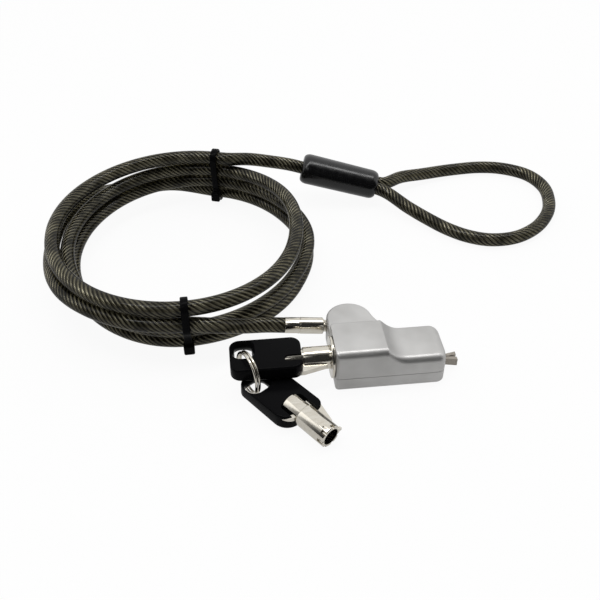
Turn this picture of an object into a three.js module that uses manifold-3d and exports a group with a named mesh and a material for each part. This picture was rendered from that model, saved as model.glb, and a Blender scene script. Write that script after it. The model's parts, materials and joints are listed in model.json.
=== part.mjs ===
// Laptop cable lock: a die-cast lock head with a tubular key cylinder, a scissor tip for a
// device's security slot, a swivelling cable end, a coiled steel cable with an eye loop, and two keys.
// Units are millimetres. +X is the nose of the lock, +Y its ear, +Z is up, and z = 0 is the table.
import * as THREE from "three";
import { mergeVertices } from "three/addons/utils/BufferGeometryUtils.js";
import Module from "manifold-3d";

const wasm = await Module();
wasm.setup();

// ---- driving dimensions ----
const RUNNING_GAP = 0.3; // between pieces that move on or rest on each other

// Lock housing
const BLOCK_LEFT = -18.7; // face that the key goes into
const NOSE_RIGHT = 18.7; // face that meets the device
const BODY_FRONT = -8;
const BODY_BACK = 8.8;
const BLOCK_HEIGHT = 15.8;
const NOSE_HEIGHT = 11.6;
const PARTING_HEIGHT = 5;
const SCOOP_START = -0.8; // crease where the thumb scoop drops from the block
const SCOOP_LENGTH = 6.4;
const NOSE_CORNER = 3.2; // plan radius of the nose's corners
const BLOCK_CORNER = 1.2; // plan radius of the block's left corners
const TOP_EDGE_FRONT = 2.6;
const TOP_EDGE_BACK = 1.1;
const BOTTOM_EDGE = 0.7;
const EAR_RADIUS = 8.1;
const EAR_HEIGHT = 10.4;
const EAR_Y = 17;
const EAR_EDGE = 0.8;
const FLANK_END = 9; // where the ear's flank runs out into the back face

// Key cylinder
const KEY_AXIS_HEIGHT = 8.2;
const BARREL_RADIUS = 6.4;
const BARREL_BACK = -7.4;
const FLANGE_RADIUS = 7.2;
const FLANGE_THICKNESS = 0.8;
const MOUTH_DEPTH = 1.4;
const ROTOR_FRONT = -16.8;
const ROTOR_LENGTH = 2.6;
const POST_RADIUS = 2.55;
const SPINDLE_RADIUS = 1.9;
const CHAMBER_RADIUS = 5;
const PIN_COUNT = 7;
const PIN_RADIUS = 0.36;
const PIN_CIRCLE = 3.62;
const DRIVER_PIN_LENGTH = 3;

// Tail cam, wedge and scissor blades
const CAM_RADIUS = 4;
const CAM_FRONT = -7;
const CAM_BACK = 0;
const CAM_CHAMBER_RADIUS = 4.4;
const WEDGE_TRAVEL = 3.4;
const PEG_X = -5.2;
const PEG_RADIUS = 0.8;
const WEDGE_BOTTOM = 1.7;
const WEDGE_TOP = 3.5;
const WEDGE_HALF_WIDTH = 1.95;
const WEDGE_TIP_HALF_WIDTH = 0.5;
const WEDGE_SHOULDER = 1.9;
const WEDGE_TIP = 5.4;
const BLADE_BOTTOM = 1.5;
const BLADE_TOP = 4.3;
const BLADE_PIVOT_X = 13.2;
const BLADE_EYE_RADIUS = 2;
const BLADE_TIP = 24.2;
const BLADE_ARM_END = 4.7;
const BLADE_PIN_RADIUS = 0.9;
const BLADE_SLOT_HALF_WIDTH = 2.6;
const FLOOR_HEIGHT = 1.2;
const CAVITY_HALF_WIDTH = 4;

// Cable swivel
const SWIVEL_X = -12.5;
const SWIVEL_Y = 18;
const SWIVEL_Z = 5.6;
const SWIVEL_TILT = 6.5; // degrees that the cable rises away from the ear
const STEM_BALL_RADIUS = 2.8;
const STEM_NECK_RADIUS = 2.1;
const SPIGOT_RADIUS = 1.4;
const SPIGOT_LENGTH = 3;
const FERRULE_START = 7.3; // distance from the swivel's centre
const FERRULE_LENGTH = 13.8;
const FERRULE_RADIUS = 2.95;
const CRIMP_LENGTH = 5.3;

// Cable
const CABLE_DIAMETER = 5.5;
const CABLE_GAP = 0.3; // between the end faces of neighbouring stretches

// Keys
const KEY_HEAD_LENGTH = 24;
const KEY_HEAD_WIDTH = 15;
const KEY_HEAD_TOP = 3.9; // the head's faces, measured from the tube's axis
const KEY_HEAD_BOTTOM = -0.9; // at the ring's end
const KEY_LOBE_BOTTOM = -1.7; // at the lobes, where the head is thickest
const KEY_HEAD_CORNER = 3.4;
const KEY_TUBE_RADIUS = 3.95;
const KEY_BORE_RADIUS = 2.95;
const KEY_TUBE_LENGTH = 12.2;
const KEY_BORE_DEPTH = 9;
const KEY_NOTCH_LENGTH = 6.5;
const KEY_ROOT_RADIUS = 3.5;
const KEY_NUB_RADIUS = 4.75;
const KEY_NUB_WIDTH = 1.1;
const KEY_NUB_LENGTH = 0.9;
const KEY_FIN_THICKNESS = 1.8;
const RING_HOLE_FROM_END = 4.6;
const RING_HOLE_OFFSET = 2.8;
const RING_HOLE_LENGTH = 7.2;
const RING_HOLE_WIDTH = 5.8;
const RING_HOLE_FLARE = 1;
const BITTING = [2.2, 1.4, 2.6, 1.8, 2.4, 1.2, 2]; // depth of each cut in the key's end

// ---- materials ----
const satinZinc = () =>
  new THREE.MeshStandardMaterial({ color: 0xbdbcba, roughness: 0.42, metalness: 0.75 });
const nickel = () =>
  new THREE.MeshStandardMaterial({ color: 0xd0ccc0, roughness: 0.16, metalness: 1 });
const steel = () =>
  new THREE.MeshStandardMaterial({ color: 0x8f8a80, roughness: 0.34, metalness: 1 });
const brass = () =>
  new THREE.MeshStandardMaterial({ color: 0xb99a55, roughness: 0.3, metalness: 1 });
const blackPlastic = () =>
  new THREE.MeshStandardMaterial({ color: 0x0c0c0d, roughness: 0.3, metalness: 0 });
const cableJacket = () =>
  new THREE.MeshStandardMaterial({ color: 0x24231c, roughness: 0.28, metalness: 0.1 });

const part = new THREE.Group();

function addPiece(name, geometry, material, parent = part) {
  const mesh = new THREE.Mesh(geometry, material);
  mesh.name = name;
  parent.add(mesh);
  return mesh;
}

// ---- solids ----
function solid(geometry) {
  const bare = geometry.index ? geometry.toNonIndexed() : geometry.clone();
  bare.deleteAttribute("normal");
  bare.deleteAttribute("uv");
  const merged = mergeVertices(bare, 1e-4);
  return new wasm.Manifold(
    new wasm.Mesh({
      numProp: 3,
      vertProperties: merged.attributes.position.array,
      triVerts: new Uint32Array(merged.index.array),
    }),
  );
}

function geometryOf(shape) {
  const mesh = shape.getMesh();
  const geometry = new THREE.BufferGeometry();
  geometry.setAttribute("position", new THREE.BufferAttribute(mesh.vertProperties, 3));
  geometry.setIndex(new THREE.BufferAttribute(mesh.triVerts, 1));
  const flat = geometry.toNonIndexed();
  flat.computeVertexNormals();
  return flat;
}

const join = (first, ...others) => others.reduce((sum, other) => sum.add(other), first);
const cut = (first, ...others) => others.reduce((rest, other) => rest.subtract(other), first);

function cylinderX(radius, x0, x1, y, z, sides = 32) {
  const geometry = new THREE.CylinderGeometry(radius, radius, x1 - x0, sides);
  geometry.rotateZ(-Math.PI / 2);
  geometry.translate((x0 + x1) / 2, y, z);
  return solid(geometry);
}

function cylinderZ(radius, z0, z1, x, y, sides = 24) {
  const geometry = new THREE.CylinderGeometry(radius, radius, z1 - z0, sides);
  geometry.rotateX(Math.PI / 2);
  geometry.translate(x, y, (z0 + z1) / 2);
  return solid(geometry);
}

function box(x0, x1, y0, y1, z0, z1) {
  const geometry = new THREE.BoxGeometry(x1 - x0, y1 - y0, z1 - z0);
  geometry.translate((x0 + x1) / 2, (y0 + y1) / 2, (z0 + z1) / 2);
  return solid(geometry);
}

function slab(outline, z0, z1, bevel = 0) {
  const geometry = new THREE.ExtrudeGeometry(outline, {
    depth: z1 - z0 - 2 * bevel,
    bevelEnabled: bevel > 0,
    bevelThickness: bevel,
    bevelSize: bevel,
    bevelOffset: -bevel,
    bevelSegments: 2,
    curveSegments: 10,
  });
  geometry.translate(0, 0, z0 + bevel);
  return solid(geometry);
}

function polygon(points) {
  return new THREE.Shape(points.map(([x, y]) => new THREE.Vector2(x, y)));
}

// A closed skin over rings that have the same number of points, with flat ends.
function skin(rings) {
  const count = rings[0].length;
  const positions = rings.flat().flatMap((p) => [p.x, p.y, p.z]);
  const faces = [];
  for (let i = 0; i + 1 < rings.length; i++) {
    for (let j = 0; j < count; j++) {
      const a = i * count + j;
      const b = i * count + ((j + 1) % count);
      faces.push(a, b, a + count, b, b + count, a + count);
    }
  }
  const last = (rings.length - 1) * count;
  for (let j = 1; j + 1 < count; j++) {
    faces.push(0, j + 1, j);
    faces.push(last, last + j, last + j + 1);
  }
  const geometry = new THREE.BufferGeometry();
  geometry.setAttribute("position", new THREE.Float32BufferAttribute(positions, 3));
  geometry.setIndex(faces);
  const flat = geometry.toNonIndexed();
  flat.computeVertexNormals();
  return flat;
}

// ---- housing ----
function bodyHeight(x) {
  if (x <= SCOOP_START) return BLOCK_HEIGHT;
  const along = Math.min((x - SCOOP_START) / SCOOP_LENGTH, 1);
  return BLOCK_HEIGHT - (BLOCK_HEIGHT - NOSE_HEIGHT) * Math.sqrt(1 - (1 - along) ** 2);
}

// How far a rounded end of the given radius pulls the sides in at a distance from its face.
function endInset(distance, radius) {
  return distance >= radius ? 0 : radius - Math.sqrt(radius ** 2 - (radius - distance) ** 2);
}

function arcPoints(cy, cz, radius, from, to, steps) {
  return Array.from({ length: steps + 1 }, (_, i) => {
    const angle = ((from + ((to - from) * i) / steps) * Math.PI) / 180;
    return [cy + radius * Math.cos(angle), cz + radius * Math.sin(angle)];
  });
}

function bodyRing(x) {
  const left = endInset(x - BLOCK_LEFT, BLOCK_CORNER);
  const right = endInset(NOSE_RIGHT - x, NOSE_CORNER);
  const front = BODY_FRONT + left + right;
  const back = BODY_BACK - left - right;
  const top = bodyHeight(x) - 0.5 * endInset(NOSE_RIGHT - x, NOSE_CORNER);
  const outline = [
    ...arcPoints(back - BOTTOM_EDGE, BOTTOM_EDGE, BOTTOM_EDGE, -90, 0, 3),
    ...arcPoints(back - TOP_EDGE_BACK, top - TOP_EDGE_BACK, TOP_EDGE_BACK, 0, 90, 4),
    ...arcPoints(front + TOP_EDGE_FRONT, top - TOP_EDGE_FRONT, TOP_EDGE_FRONT, 90, 180, 6),
    ...arcPoints(front + BOTTOM_EDGE, BOTTOM_EDGE, BOTTOM_EDGE, 180, 270, 3),
  ];
  return outline.map(([y, z]) => new THREE.Vector3(x, y, z));
}

function bodyStations() {
  const stations = [];
  for (let i = 0; i <= 3; i++) stations.push(BLOCK_LEFT + BLOCK_CORNER * (1 - Math.cos((i * Math.PI) / 6)));
  stations.push(SCOOP_START);
  for (let i = 1; i <= 10; i++) {
    stations.push(SCOOP_START + SCOOP_LENGTH * (1 - Math.cos((i * Math.PI) / 20)));
  }
  for (let i = 5; i >= 0; i--) stations.push(NOSE_RIGHT - NOSE_CORNER * (1 - Math.cos((i * Math.PI) / 10)));
  return stations;
}

function earOutline() {
  const centreX = BLOCK_LEFT + EAR_RADIUS;
  const flankAngle = (15 * Math.PI) / 180;
  const flankX = centreX + EAR_RADIUS * Math.cos(flankAngle);
  const flankY = EAR_Y + EAR_RADIUS * Math.sin(flankAngle);
  const pull = 5;
  const outline = new THREE.Shape();
  outline.moveTo(BLOCK_LEFT, BODY_BACK - BLOCK_CORNER - 2);
  outline.lineTo(FLANK_END, BODY_BACK - BLOCK_CORNER - 2);
  outline.lineTo(FLANK_END, BODY_BACK - 0.02);
  outline.bezierCurveTo(
    (FLANK_END + flankX) / 2 - 0.7,
    BODY_BACK - 0.02,
    flankX + pull * Math.sin(flankAngle),
    flankY - pull * Math.cos(flankAngle),
    flankX,
    flankY,
  );
  outline.absarc(centreX, EAR_Y, EAR_RADIUS, flankAngle, Math.PI, false);
  outline.lineTo(BLOCK_LEFT, BODY_BACK - BLOCK_CORNER - 2);
  return outline;
}

// The swivel's own frame: x runs out along the cable from the ball's centre.
const swivel = new THREE.Group();
swivel.position.set(SWIVEL_X, SWIVEL_Y, SWIVEL_Z);
swivel.rotation.y = Math.PI + (SWIVEL_TILT * Math.PI) / 180;
swivel.updateMatrix();
part.add(swivel);

// A turned piece in the swivel's frame, from [distance, radius] pairs along the cable.
function turned(profile, sides) {
  const geometry = new THREE.LatheGeometry(
    profile.map(([along, radius]) => new THREE.Vector2(radius, along)),
    sides,
  );
  geometry.rotateZ(-Math.PI / 2);
  return geometry;
}

function ballProfile(radius, neckRadius) {
  const last = Math.PI - Math.asin(neckRadius / radius);
  return Array.from({ length: 9 }, (_, i) => {
    const angle = (last * i) / 8;
    return [-radius * Math.cos(angle), i === 0 ? 0 : radius * Math.sin(angle)];
  });
}

function swivelCavity() {
  const profile = ballProfile(STEM_BALL_RADIUS + RUNNING_GAP, STEM_NECK_RADIUS + RUNNING_GAP);
  profile.push([FERRULE_START, STEM_NECK_RADIUS + 1.1]);
  profile.push([FERRULE_START, 0]);
  return solid(turned(profile, 24)).transform(swivel.matrix.elements);
}

const CASE_SCREWS = [
  { x: -3, y: 13, head: 1.7 },
  { x: 9.5, y: -6, head: 1.5 },
  { x: 9.5, y: 6.4, head: 1.5 },
];
const CASE_SCREW_RADIUS = 0.9;
const CASE_SCREW_TOP = 8.2;
const CASE_SCREW_HEAD_HEIGHT = 1;
const CASE_SCREW_INSET = 0.25;

function bladeCavity() {
  const half = CAVITY_HALF_WIDTH;
  const shape = polygon([
    [BLADE_ARM_END - 1, -half],
    [NOSE_RIGHT - 3, -half],
    [NOSE_RIGHT - 2.2, -BLADE_SLOT_HALF_WIDTH],
    [NOSE_RIGHT + 1, -BLADE_SLOT_HALF_WIDTH],
    [NOSE_RIGHT + 1, BLADE_SLOT_HALF_WIDTH],
    [NOSE_RIGHT - 2.2, BLADE_SLOT_HALF_WIDTH],
    [NOSE_RIGHT - 3, half],
    [BLADE_ARM_END - 1, half],
  ]);
  return slab(shape, FLOOR_HEIGHT, BLADE_TOP + RUNNING_GAP);
}

function housing() {
  let body = solid(skin(bodyStations().map(bodyRing)));
  body = join(body, slab(earOutline(), 0, EAR_HEIGHT, EAR_EDGE));
  const wedgeRoom = box(
    CAM_FRONT - 0.2,
    BLADE_ARM_END,
    -WEDGE_HALF_WIDTH - RUNNING_GAP,
    WEDGE_HALF_WIDTH + RUNNING_GAP,
    FLOOR_HEIGHT + 0.2,
    WEDGE_TOP + RUNNING_GAP,
  );
  const pegReach = PEG_RADIUS + RUNNING_GAP;
  const pegSlot = box(
    PEG_X - pegReach,
    PEG_X + WEDGE_TRAVEL + pegReach,
    -pegReach,
    pegReach,
    WEDGE_TOP,
    PARTING_HEIGHT,
  );
  body = cut(
    body,
    pegSlot,
    cylinderX(BARREL_RADIUS + 0.2, BLOCK_LEFT - 1, BARREL_BACK + RUNNING_GAP, 0, KEY_AXIS_HEIGHT),
    cylinderX(CAM_CHAMBER_RADIUS, BARREL_BACK, CAM_BACK + RUNNING_GAP, 0, KEY_AXIS_HEIGHT),
    wedgeRoom,
    bladeCavity(),
    swivelCavity(),
    cylinderZ(BLADE_PIN_RADIUS + 0.15, 0.5, 7.3, BLADE_PIVOT_X, 0, 16),
  );
  for (const screw of CASE_SCREWS) {
    body = cut(
      body,
      cylinderZ(CASE_SCREW_RADIUS + 0.15, 0.1, CASE_SCREW_TOP + RUNNING_GAP, screw.x, screw.y, 16),
      cylinderZ(screw.head + 0.2, -1, CASE_SCREW_HEAD_HEIGHT + RUNNING_GAP, screw.x, screw.y, 20),
    );
  }
  return body;
}

function makeShells() {
  const body = housing();
  const reach = 60;
  const seam = RUNNING_GAP / 2;
  const above = box(-reach, reach, -reach, reach, PARTING_HEIGHT + seam, reach);
  const below = box(-reach, reach, -reach, reach, -reach, PARTING_HEIGHT - seam);
  addPiece("upper_shell", geometryOf(body.intersect(above)), satinZinc());
  addPiece("lower_shell", geometryOf(body.intersect(below)), satinZinc());
  CASE_SCREWS.forEach((screw, i) => {
    const headTop = CASE_SCREW_HEAD_HEIGHT;
    const shank = cylinderZ(CASE_SCREW_RADIUS, headTop - 0.1, CASE_SCREW_TOP, screw.x, screw.y, 16);
    const head = cylinderZ(screw.head, CASE_SCREW_INSET, headTop, screw.x, screw.y, 20);
    const socket = cylinderZ(0.7, 0, 0.75, screw.x, screw.y, 6);
    addPiece("case_screw_" + (i + 1), geometryOf(cut(join(shank, head), socket)), steel());
  });
}

// ---- key cylinder ----
const pinAngle = (i) => (i * 2 * Math.PI) / PIN_COUNT;
const pinY = (i, circle) => circle * Math.cos(pinAngle(i));
const pinZ = (i, circle) => KEY_AXIS_HEIGHT + circle * Math.sin(pinAngle(i));
const ROTOR_BACK = ROTOR_FRONT + ROTOR_LENGTH;
const DRIVER_BLOCK_FRONT = ROTOR_BACK + 0.2;
const BARREL_PIN_X = -10;
const BARREL_PIN_RADIUS = 0.7;
const FLANGE_BACK = BLOCK_LEFT - RUNNING_GAP;
const FLANGE_FRONT = FLANGE_BACK - FLANGE_THICKNESS;
const BARREL_PIN_ANGLE = (5.5 * 2 * Math.PI) / PIN_COUNT; // measured from +y, as the pins are

// The barrel pin lies along a radius between two driver pins; the solid is made along z.
function barrelPin(radius, inner, outer) {
  const geometry = new THREE.CylinderGeometry(radius, radius, outer - inner, 14);
  geometry.rotateX(Math.PI / 2);
  geometry.translate(0, 0, (inner + outer) / 2);
  geometry.rotateX(BARREL_PIN_ANGLE - Math.PI / 2);
  geometry.translate(BARREL_PIN_X, 0, KEY_AXIS_HEIGHT);
  return solid(geometry);
}

// The mouth lets the key's nub in at the two positions where the key can be drawn out.
function nubNotch(angle) {
  const reach = KEY_NUB_RADIUS + 0.2;
  const half = KEY_NUB_WIDTH / 2 + 0.25;
  const geometry = new THREE.BoxGeometry(MOUTH_DEPTH + 1, reach, 2 * half);
  geometry.translate(0, reach / 2, 0);
  geometry.rotateX(angle);
  geometry.translate(FLANGE_FRONT + MOUTH_DEPTH / 2, 0, KEY_AXIS_HEIGHT);
  return solid(geometry);
}

function makeCylinder() {
  const mouthEnd = FLANGE_FRONT + MOUTH_DEPTH;
  const axis = KEY_AXIS_HEIGHT;
  const shell = join(
    cylinderX(BARREL_RADIUS, FLANGE_BACK - 0.1, BARREL_BACK, 0, axis),
    cylinderX(FLANGE_RADIUS, FLANGE_FRONT, FLANGE_BACK, 0, axis, 40),
  );
  const barrel = cut(
    shell,
    cylinderX(KEY_TUBE_RADIUS + 0.2, FLANGE_FRONT - 1, mouthEnd + 0.1, 0, axis),
    cylinderX(CHAMBER_RADIUS, mouthEnd, BARREL_BACK + 1, 0, axis),
    nubNotch(Math.PI),
    nubNotch(Math.PI / 2),
    barrelPin(BARREL_PIN_RADIUS + 0.12, 3, 8),
  );
  addPiece("lock_barrel", geometryOf(barrel), nickel());

  let rotor = join(
    cylinderX(CHAMBER_RADIUS - 0.2, ROTOR_FRONT, ROTOR_BACK, 0, axis),
    cylinderX(POST_RADIUS, FLANGE_FRONT + 0.6, ROTOR_FRONT + 0.1, 0, axis, 24),
    cylinderX(SPINDLE_RADIUS, ROTOR_BACK - 0.1, CAM_FRONT + 0.3, 0, axis, 20),
  );
  let block = cylinderX(CHAMBER_RADIUS - 0.15, DRIVER_BLOCK_FRONT, BARREL_BACK - 0.2, 0, axis);
  block = cut(
    block,
    cylinderX(SPINDLE_RADIUS + 0.2, DRIVER_BLOCK_FRONT - 1, BARREL_BACK + 1, 0, axis, 20),
    barrelPin(BARREL_PIN_RADIUS + 0.12, 3.1, 8),
  );
  const holeRadius = PIN_RADIUS + 0.12;
  for (let i = 0; i < PIN_COUNT; i++) {
    const y = pinY(i, PIN_CIRCLE);
    const z = pinZ(i, PIN_CIRCLE);
    const hole = (x0, x1) => cylinderX(holeRadius, x0, x1, y, z, 12);
    rotor = cut(rotor, hole(ROTOR_FRONT - 1, ROTOR_BACK + 1));
    block = cut(block, hole(DRIVER_BLOCK_FRONT - 1, DRIVER_BLOCK_FRONT + DRIVER_PIN_LENGTH + 1.2));
    const keyPinFront = ROTOR_FRONT - 0.2 - BITTING[i] + 0.15;
    const keyPin = cylinderX(PIN_RADIUS, keyPinFront, ROTOR_BACK, y, z, 10);
    const driver = cylinderX(
      PIN_RADIUS,
      DRIVER_BLOCK_FRONT,
      DRIVER_BLOCK_FRONT + DRIVER_PIN_LENGTH,
      y,
      z,
      10,
    );
    addPiece("key_pin_" + (i + 1), geometryOf(keyPin), brass());
    addPiece("driver_pin_" + (i + 1), geometryOf(driver), steel());
  }
  addPiece("lock_rotor", geometryOf(rotor), nickel());
  addPiece("driver_block", geometryOf(block), brass());
  addPiece("barrel_pin", geometryOf(barrelPin(BARREL_PIN_RADIUS, 3.4, BARREL_RADIUS)), steel());
}

// ---- tail cam, wedge and blades ----
// The cam's groove carries the wedge's peg forward as the cam turns a quarter turn.
function camGroove() {
  const steps = 12;
  const grooveRadius = PEG_RADIUS + RUNNING_GAP;
  const parts = [];
  for (let i = 0; i <= steps; i++) {
    const geometry = new THREE.CylinderGeometry(grooveRadius, grooveRadius, CAM_RADIUS, 14);
    geometry.rotateX(Math.PI / 2);
    geometry.translate(0, 0, -2.3 - CAM_RADIUS / 2);
    geometry.rotateX(((i / steps) * Math.PI) / 2);
    geometry.translate(PEG_X + (WEDGE_TRAVEL * i) / steps, 0, KEY_AXIS_HEIGHT);
    parts.push(solid(geometry));
  }
  return parts;
}

function makeCam() {
  const axis = KEY_AXIS_HEIGHT;
  const spindleEnd = CAM_FRONT + 0.3;
  const cam = cut(
    cylinderX(CAM_RADIUS, CAM_FRONT, CAM_BACK, 0, axis, 32),
    cylinderX(SPINDLE_RADIUS + 0.1, CAM_FRONT - 1, spindleEnd + RUNNING_GAP, 0, axis, 20),
    cylinderX(1.15, CAM_FRONT - 1, CAM_BACK + 1, 0, axis, 16),
    cylinderX(1.95, CAM_BACK - 1, CAM_BACK + 1, 0, axis, 20),
    ...camGroove(),
  );
  addPiece("tail_cam", geometryOf(cam), steel());
  const screw = join(
    cylinderX(0.85, spindleEnd + RUNNING_GAP, CAM_BACK - 0.7, 0, axis, 14),
    cylinderX(1.65, CAM_BACK - 0.8, CAM_BACK - 0.1, 0, axis, 20),
  );
  addPiece("cam_screw", geometryOf(screw), steel());
}

function makeWedge() {
  const rear = PEG_X - 1.5;
  const plate = slab(
    polygon([
      [rear, -WEDGE_HALF_WIDTH],
      [WEDGE_SHOULDER, -WEDGE_HALF_WIDTH],
      [WEDGE_TIP, -WEDGE_TIP_HALF_WIDTH],
      [WEDGE_TIP, WEDGE_TIP_HALF_WIDTH],
      [WEDGE_SHOULDER, WEDGE_HALF_WIDTH],
      [rear, WEDGE_HALF_WIDTH],
    ]),
    WEDGE_BOTTOM,
    WEDGE_TOP,
  );
  const peg = cylinderZ(PEG_RADIUS, WEDGE_TOP - 0.1, KEY_AXIS_HEIGHT - 2.6, PEG_X, 0, 16);
  addPiece("spreader_wedge", geometryOf(join(plate, peg)), steel());
}

// One scissor blade with its hook on the side given by `side`; its arm lies across on the other side.
function bladeSolid(side, eyeBottom, eyeTop) {
  const flip = (points) => {
    const placed = points.map(([x, y]) => [x, y * side]);
    return polygon(side > 0 ? placed : placed.reverse());
  };
  const inner = 0.15;
  const headRoot = 15.9;
  const hook = flip([
    [headRoot, inner],
    [BLADE_TIP - 2.8, inner],
    [BLADE_TIP, 0.6],
    [BLADE_TIP, 2],
    [BLADE_TIP - 5, 0.95],
    [BLADE_TIP - 6.8, 1.25],
    [headRoot, 1.7],
  ]);
  const link = flip([
    [BLADE_PIVOT_X, inner - 1.2],
    [headRoot + 0.1, inner],
    [headRoot + 0.1, 1.69],
    [BLADE_PIVOT_X, 1.9],
  ]);
  const arm = flip([
    [BLADE_ARM_END, -2],
    [BLADE_PIVOT_X, -1.9],
    [BLADE_PIVOT_X, 1],
    [BLADE_PIVOT_X - 1.6, -0.95],
    [BLADE_ARM_END + 0.3, -0.95],
    [BLADE_ARM_END, -1.3],
  ]);
  const eye = cylinderZ(BLADE_EYE_RADIUS, eyeBottom, eyeTop, BLADE_PIVOT_X, 0, 24);
  const blade = join(
    slab(hook, BLADE_BOTTOM, BLADE_TOP),
    slab(link, eyeBottom, eyeTop),
    slab(arm, eyeBottom, eyeTop),
    eye,
  );
  return cut(blade, cylinderZ(BLADE_PIN_RADIUS + 0.2, 0, 9, BLADE_PIVOT_X, 0, 16));
}

function makeBlades() {
  const middle = (BLADE_BOTTOM + BLADE_TOP) / 2;
  const half = RUNNING_GAP / 2;
  addPiece("blade_rear", geometryOf(bladeSolid(1, BLADE_BOTTOM, middle - half)), steel());
  addPiece("blade_front", geometryOf(bladeSolid(-1, middle + half, BLADE_TOP)), steel());
  addPiece("blade_pivot_pin", geometryOf(cylinderZ(BLADE_PIN_RADIUS, 0.8, 7, BLADE_PIVOT_X, 0, 16)), steel());
}

// ---- cable end ----
function makeCableEnd() {
  const stem = ballProfile(STEM_BALL_RADIUS, STEM_NECK_RADIUS);
  stem.push([FERRULE_START - RUNNING_GAP, STEM_NECK_RADIUS]);
  stem.push([FERRULE_START - RUNNING_GAP, SPIGOT_RADIUS]);
  stem.push([FERRULE_START + SPIGOT_LENGTH, SPIGOT_RADIUS]);
  stem.push([FERRULE_START + SPIGOT_LENGTH, 0]);
  addPiece("swivel_stem", turned(stem, 24), nickel(), swivel);

  const end = FERRULE_START + FERRULE_LENGTH;
  const groove = FERRULE_START + 1.3;
  const body = solid(
    turned(
      [
        [FERRULE_START, 0],
        [FERRULE_START, FERRULE_RADIUS - 0.5],
        [FERRULE_START + 0.4, FERRULE_RADIUS],
        [groove - 0.3, FERRULE_RADIUS],
        [groove, FERRULE_RADIUS - 0.35],
        [groove + 0.3, FERRULE_RADIUS],
        [end - 0.4, FERRULE_RADIUS],
        [end, FERRULE_RADIUS - 0.3],
        [end, 0],
      ],
      32,
    ),
  );
  // Six crimped flats at the cable's end of the ferrule.
  const crimp = new THREE.CylinderGeometry(FERRULE_RADIUS, FERRULE_RADIUS, CRIMP_LENGTH, 6);
  crimp.rotateZ(-Math.PI / 2);
  crimp.translate(end - CRIMP_LENGTH / 2, 0, 0);
  const sheath = cut(
    cylinderX(FERRULE_RADIUS + 1, end - CRIMP_LENGTH, end + 1, 0, 0),
    solid(crimp),
    cylinderX(FERRULE_RADIUS - 0.35, end - CRIMP_LENGTH - 1, end + 2, 0, 0, 12),
  );
  const spigotHole = cylinderX(
    SPIGOT_RADIUS + 0.15,
    FERRULE_START - 1,
    FERRULE_START + SPIGOT_LENGTH + RUNNING_GAP,
    0,
    0,
    20,
  );
  addPiece("cable_ferrule", geometryOf(cut(body, sheath, spigotHole)), nickel(), swivel);
}

// ---- cable ----
const COIL_X = -69;
const COIL_Y = 67.5;
const STRAND_PITCH = 6; // between the middles of touching strands
const STRAND_LOW = 4.05; // a strand that lies on a tie's strap
const level = (n) => STRAND_LOW + n * STRAND_PITCH;
const BACK_TIE_ANGLE = 72.5; // azimuth of each tie on the coil, in degrees
const FRONT_TIE_ANGLE = 272;

// Where the cable's middle lies, as [whole loops, azimuth, radius, height], from the sleeve's end
// to the lock's end.
const COIL_SEATS = [
  [0, BACK_TIE_ANGLE, 49, level(3)],
  [0, 180, 48.2, level(2.75)],
  [0, FRONT_TIE_ANGLE, 53.2, level(2.95)],
  [0, 357, 44.8, level(2.6)],
  [1, BACK_TIE_ANGLE, 49.4, level(2)],
  [1, 180, 43.6, level(1.7)],
  [1, FRONT_TIE_ANGLE, 50.2, level(1)],
  [1, 333, 48.2, level(1)],
  [2, 11, 49.9, level(1)],
  [2, BACK_TIE_ANGLE, 50.2, level(1)],
  [2, 180, 42.6, level(0.66)],
  [2, FRONT_TIE_ANGLE, 48.6, level(0)],
  [2, 333, 47.6, level(-0.1)],
  [3, 9, 49.6, level(-0.1)],
  [3, BACK_TIE_ANGLE, 51.6, level(0)],
  [3, 102, 55, level(0.3)],
  [3, 135, 53.4, level(1.3)],
  [3, 180, 49.6, level(1.7)],
  [3, 226, 52.8, level(1.9)],
  [3, FRONT_TIE_ANGLE, 54.7, level(2)],
  [3, 277, 55.4, level(1.93)],
].map(([loops, azimuth, ...place]) => [360 * loops + azimuth, ...place]);
const LOOP_STEPS = 24;
const COIL_SIDES = 6;

function coilPoint(azimuth) {
  let i = 0;
  while (i + 2 < COIL_SEATS.length && azimuth > COIL_SEATS[i + 1][0]) i++;
  const [a0, r0, z0] = COIL_SEATS[i];
  const [a1, r1, z1] = COIL_SEATS[i + 1];
  const along = (azimuth - a0) / (a1 - a0);
  const blend = (1 - Math.cos(Math.PI * along)) / 2;
  const radius = r0 + (r1 - r0) * blend;
  const angle = (azimuth * Math.PI) / 180;
  return new THREE.Vector3(
    COIL_X + radius * Math.cos(angle),
    COIL_Y + radius * Math.sin(angle),
    z0 + (z1 - z0) * blend,
  );
}

function coilPath() {
  const start = COIL_SEATS[0][0];
  const end = COIL_SEATS[COIL_SEATS.length - 1][0];
  const steps = Math.round(((end - start) / 360) * LOOP_STEPS);
  const points = [];
  for (let i = 0; i <= steps; i++) points.push(coilPoint(start + ((end - start) * i) / steps));
  const straightEnd = (from, next) =>
    from.clone().addScaledVector(from.clone().sub(next).normalize(), CABLE_DIAMETER);
  points.unshift(straightEnd(points[0], points[1]));
  points.push(straightEnd(points[points.length - 1], points[points.length - 2]));
  return points;
}

// The least distance between the surfaces of strands that pass each other.
function leastGap(points) {
  const apart = LOOP_STEPS / 2;
  const line = new THREE.Line3();
  const near = new THREE.Vector3();
  let least = Infinity;
  for (let i = 0; i < points.length; i++) {
    for (let j = i + apart; j + 1 < points.length; j++) {
      line.set(points[j], points[j + 1]);
      line.closestPointToPoint(points[i], true, near);
      least = Math.min(least, near.distanceTo(points[i]));
    }
  }
  return least - CABLE_DIAMETER;
}

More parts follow.
